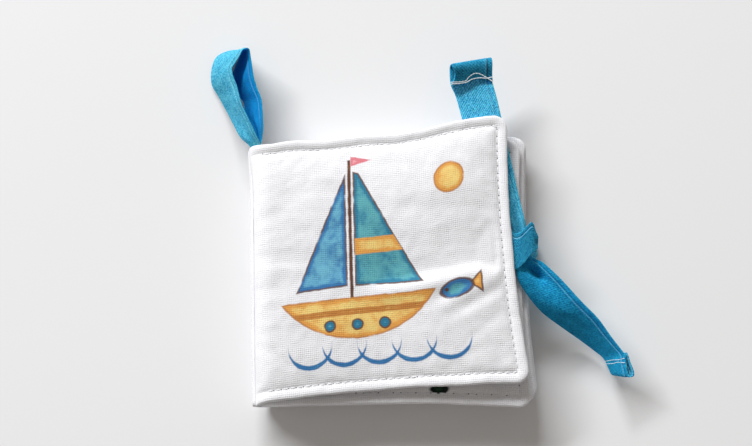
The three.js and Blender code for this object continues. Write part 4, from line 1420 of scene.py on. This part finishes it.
# The seam's marks are painted light and shade: a pale highlight along its ridge and shade in its groove.
SEAM_RIDGE, SEAM_GROOVE, SEAM_HALF = 0.0058, 0.0065, 0.0003
SEAM_SPAN = (1.5 * SEAM_HALF, 0.5 * SEAM_HALF)
RIDGE_HIGHLIGHT, GROOVE_SHADE, GROOVE_SHADE_MORE = 0.25, 0.4, 0.2
RIB_BUMP_SHARE, TWILL_DEPTH = 0.5, 0.00018
TWILL_GLOSS = 0.12
TWILL_SOAK_WEIGHT, TWILL_SOAK_COLOURS = 0.6, (0.3, 0.7, 1.0)
TWILL_SOAK, LOOP_SOAK = 0.0015, 0.004
FACE_BLUE, FACE_SHADE = (0.130, 0.595, 0.800), (0.010, 0.230, 0.420)
LOOP_BLUE, LOOP_SHADE = (0.115, 0.500, 0.690), (0.010, 0.215, 0.380)
BACK_BLUE, BACK_SHADE = (0.018, 0.390, 0.665), (0.001, 0.170, 0.360)
# Painted shade: the front tie's back side, which shows in the wrap and the hem flap, is a darker copy of
# the back tie's colours.
WRAP_SHADED_BLUE, WRAP_SHADED_DEEP = (0.036, 0.360, 0.560), (0.006, 0.160, 0.310)
# Painted shade: the loop's inner side is a deeper blue than its face, partly the tape's own back and partly
# the shade inside the loop.
INSIDE_SHADED_BLUE, INSIDE_SHADED_DEEP = (0.003, 0.250, 0.560), (0.001, 0.155, 0.400)
HEM_THREAD_WHITE, HEM_THREAD_SHADE = (0.93, 0.96, 0.98), (0.80, 0.86, 0.90)
# How strongly each finish paints the seam's highlight and shade.
LIGHT_SEAM, WRAP_SEAM, BACK_SEAM = 0.15, 0.40, 0.24


def twill_finish(name, light, shade, seam, soak=TWILL_SOAK):
    """Twill weave: fine diagonal ribs, darker between them, and a seam along one edge painted with a pale
    highlight on its ridge and shade in its groove.
    """
    finish = Finish(name, roughness=0.85)
    where = finish.node("ShaderNodeAttribute", CLOTH_ATTRIBUTE, {}, "Vector")
    x, y = finish.axis(where, "X"), finish.axis(where, "Y")
    drift = finish.noise(where, *TWILL_DRIFT) * TWILL_DRIFT_SIZE
    ribs = ((x - y) * TWILL_PHASE + drift).math("SINE") * 0.5 + 0.5
    wear = finish.noise(where, *TWILL_WEAR)
    fibres = finish.noise(where, *TWILL_FIBRES)
    field = ribs * RIB_SHARE + wear * WEAR_SHARE + fibres * FIBRE_SHARE
    tone = finish.mix(shade, light, finish.rise(field, *TWILL_TONE_SPAN))
    # Painted highlight on the seam's ridge and painted shade in its groove.
    ridge = finish.rise(abs(y - SEAM_RIDGE), *SEAM_SPAN)
    groove = finish.rise(abs(y - SEAM_GROOVE), *SEAM_SPAN)
    shown_pale = [RIDGE_HIGHLIGHT + (1 - RIDGE_HIGHLIGHT) * part for part in light]
    tone = finish.mix(tone, shown_pale, ridge * seam)
    tone = finish.mix(tone, [GROOVE_SHADE * part for part in shade], groove * (seam + GROOVE_SHADE_MORE))
    finish.set(Base_Color=tone, Specular_IOR_Level=TWILL_GLOSS)
    finish.set(Subsurface_Weight=TWILL_SOAK_WEIGHT, Subsurface_Scale=soak)
    finish.set(Subsurface_Radius=TWILL_SOAK_COLOURS)
    finish.bump(ribs * RIB_BUMP_SHARE + fibres, TWILL_DEPTH)
    return finish


face_twill = twill_finish("blue_twill_face", FACE_BLUE, FACE_SHADE, LIGHT_SEAM)
loop_twill = twill_finish("blue_twill_loop", LOOP_BLUE, LOOP_SHADE, LIGHT_SEAM, LOOP_SOAK)
wrap_shaded_twill = twill_finish("blue_twill_wrap", WRAP_SHADED_BLUE, WRAP_SHADED_DEEP, WRAP_SEAM)
back_twill = twill_finish("blue_twill_back", BACK_BLUE, BACK_SHADE, BACK_SEAM)
inside_shaded_twill = twill_finish("blue_twill_inside", INSIDE_SHADED_BLUE, INSIDE_SHADED_DEEP, LIGHT_SEAM, LOOP_SOAK)
hem_thread = thread_finish("hem_thread", HEM_THREAD_WHITE, HEM_THREAD_SHADE)
FRONT_HEM = {"hem": 0.0095, "roll": 0.0021, "turn": -1, "plump": 1.3, "bow": 0.0014, "mouth": 0.16}
BACK_HEM = {"hem": 0.0095, "roll": 0.0016, "turn": -1, "plump": 1.7}
# Each tape's back side takes the first finish and its face the second; the wrap's and the loop inside's
# finishes hold painted shade.
TAPES = {
    "carry_loop": (carry_loop, "front_cover", "loop_cotton", "hung", inside_shaded_twill, loop_twill, {}),
    "front_tie": (front_tie, "front_cover", "tie_cotton", "folded", wrap_shaded_twill, face_twill, FRONT_HEM),
    "back_tie": (back_tie, "back_cover", "tie_cotton", "folded", back_twill, face_twill, BACK_HEM),
}
for name, (strap, body, slot, held, deep, pale, cut) in TAPES.items():
    tape = link(f"{name}_tape", tape_mesh(name, strap, **cut), deep, pale)
    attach(tape, body)
    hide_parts(name)
    cut_length = strap.length + cut.get("hem", 0)

# Two rows of white thread close each tie's hem, a little slack over its edge. Each row's
# distances from the hem's raw edge follow it across the tape.
FRONT_ROWS = (
    (
        (-1.0, 0.0010), (-0.3, 0.0011), (-0.14, 0.0024), (0.12, 0.0034),
        (0.36, 0.0031), (0.65, 0.0018), (1.0, -0.0004),
    ),
    ((-1.0, 0.0003), (-0.3, 0.0004), (0.02, 0.0014), (0.35, 0.0016), (0.7, 0.0012), (1.0, 0.0014)),
)
BACK_ROWS = (
    ((-1.0, 0.0034), (-0.3, 0.0036), (0.3, 0.0033), (1.0, 0.0037)),
    ((-1.0, 0.0022), (-0.2, 0.0020), (0.4, 0.0022), (1.0, 0.0019)),
)
HEM_THREAD_PITCH = 0.0013
HEM_THREAD_LENGTH = 0.0018
FRONT_GIRTH, BACK_GIRTH = 0.00018, 0.00012
HEM_ACROSS = np.linspace(-0.99, 0.99, 45)
HEMS = (
    ("front_tie", front_tie, "front_cover", FRONT_HEM, FRONT_ROWS, FRONT_GIRTH, True),
    ("back_tie", back_tie, "back_cover", BACK_HEM, BACK_ROWS, BACK_GIRTH, False),
)
for name, strap, body, cut, shapes, girth, on_flap in HEMS:
    hem_start = strap.length - cut["hem"]
    roll, plump = cut["roll"], cut["plump"]

    def on_hem(along, aside, height, strap=strap, cut=cut, on_flap=on_flap):
        share = np.clip((strap.length - roll - along) / (cut["hem"] - roll), 0, 1)
        top = plump * TAPE_THICKNESS / 2 + height
        level = cut["turn"] * (flap_lie(share, roll, plump) + top) if on_flap else top
        return strap.place(along, aside / (STRAP_WIDTH / 2), level)

    for index, shape in enumerate(shapes):
        knots, shifts = np.array(shape).T
        spots = np.interp(HEM_ACROSS, knots, np.arange(len(knots)))
        bends = smooth_path(np.stack([knots * STRAP_WIDTH / 2, shifts], axis=-1), spots)
        path = [(hem_start + shift, across) for across, shift in bends]
        row = stitch_row(
            f"{name}_hem_row_{index + 1}", on_hem, path, hem_thread, 0,
            pitch=HEM_THREAD_PITCH, length=HEM_THREAD_LENGTH, radius=girth, holes=False,
        )
        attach(row, body)
    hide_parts(f"{name}_hem_thread")
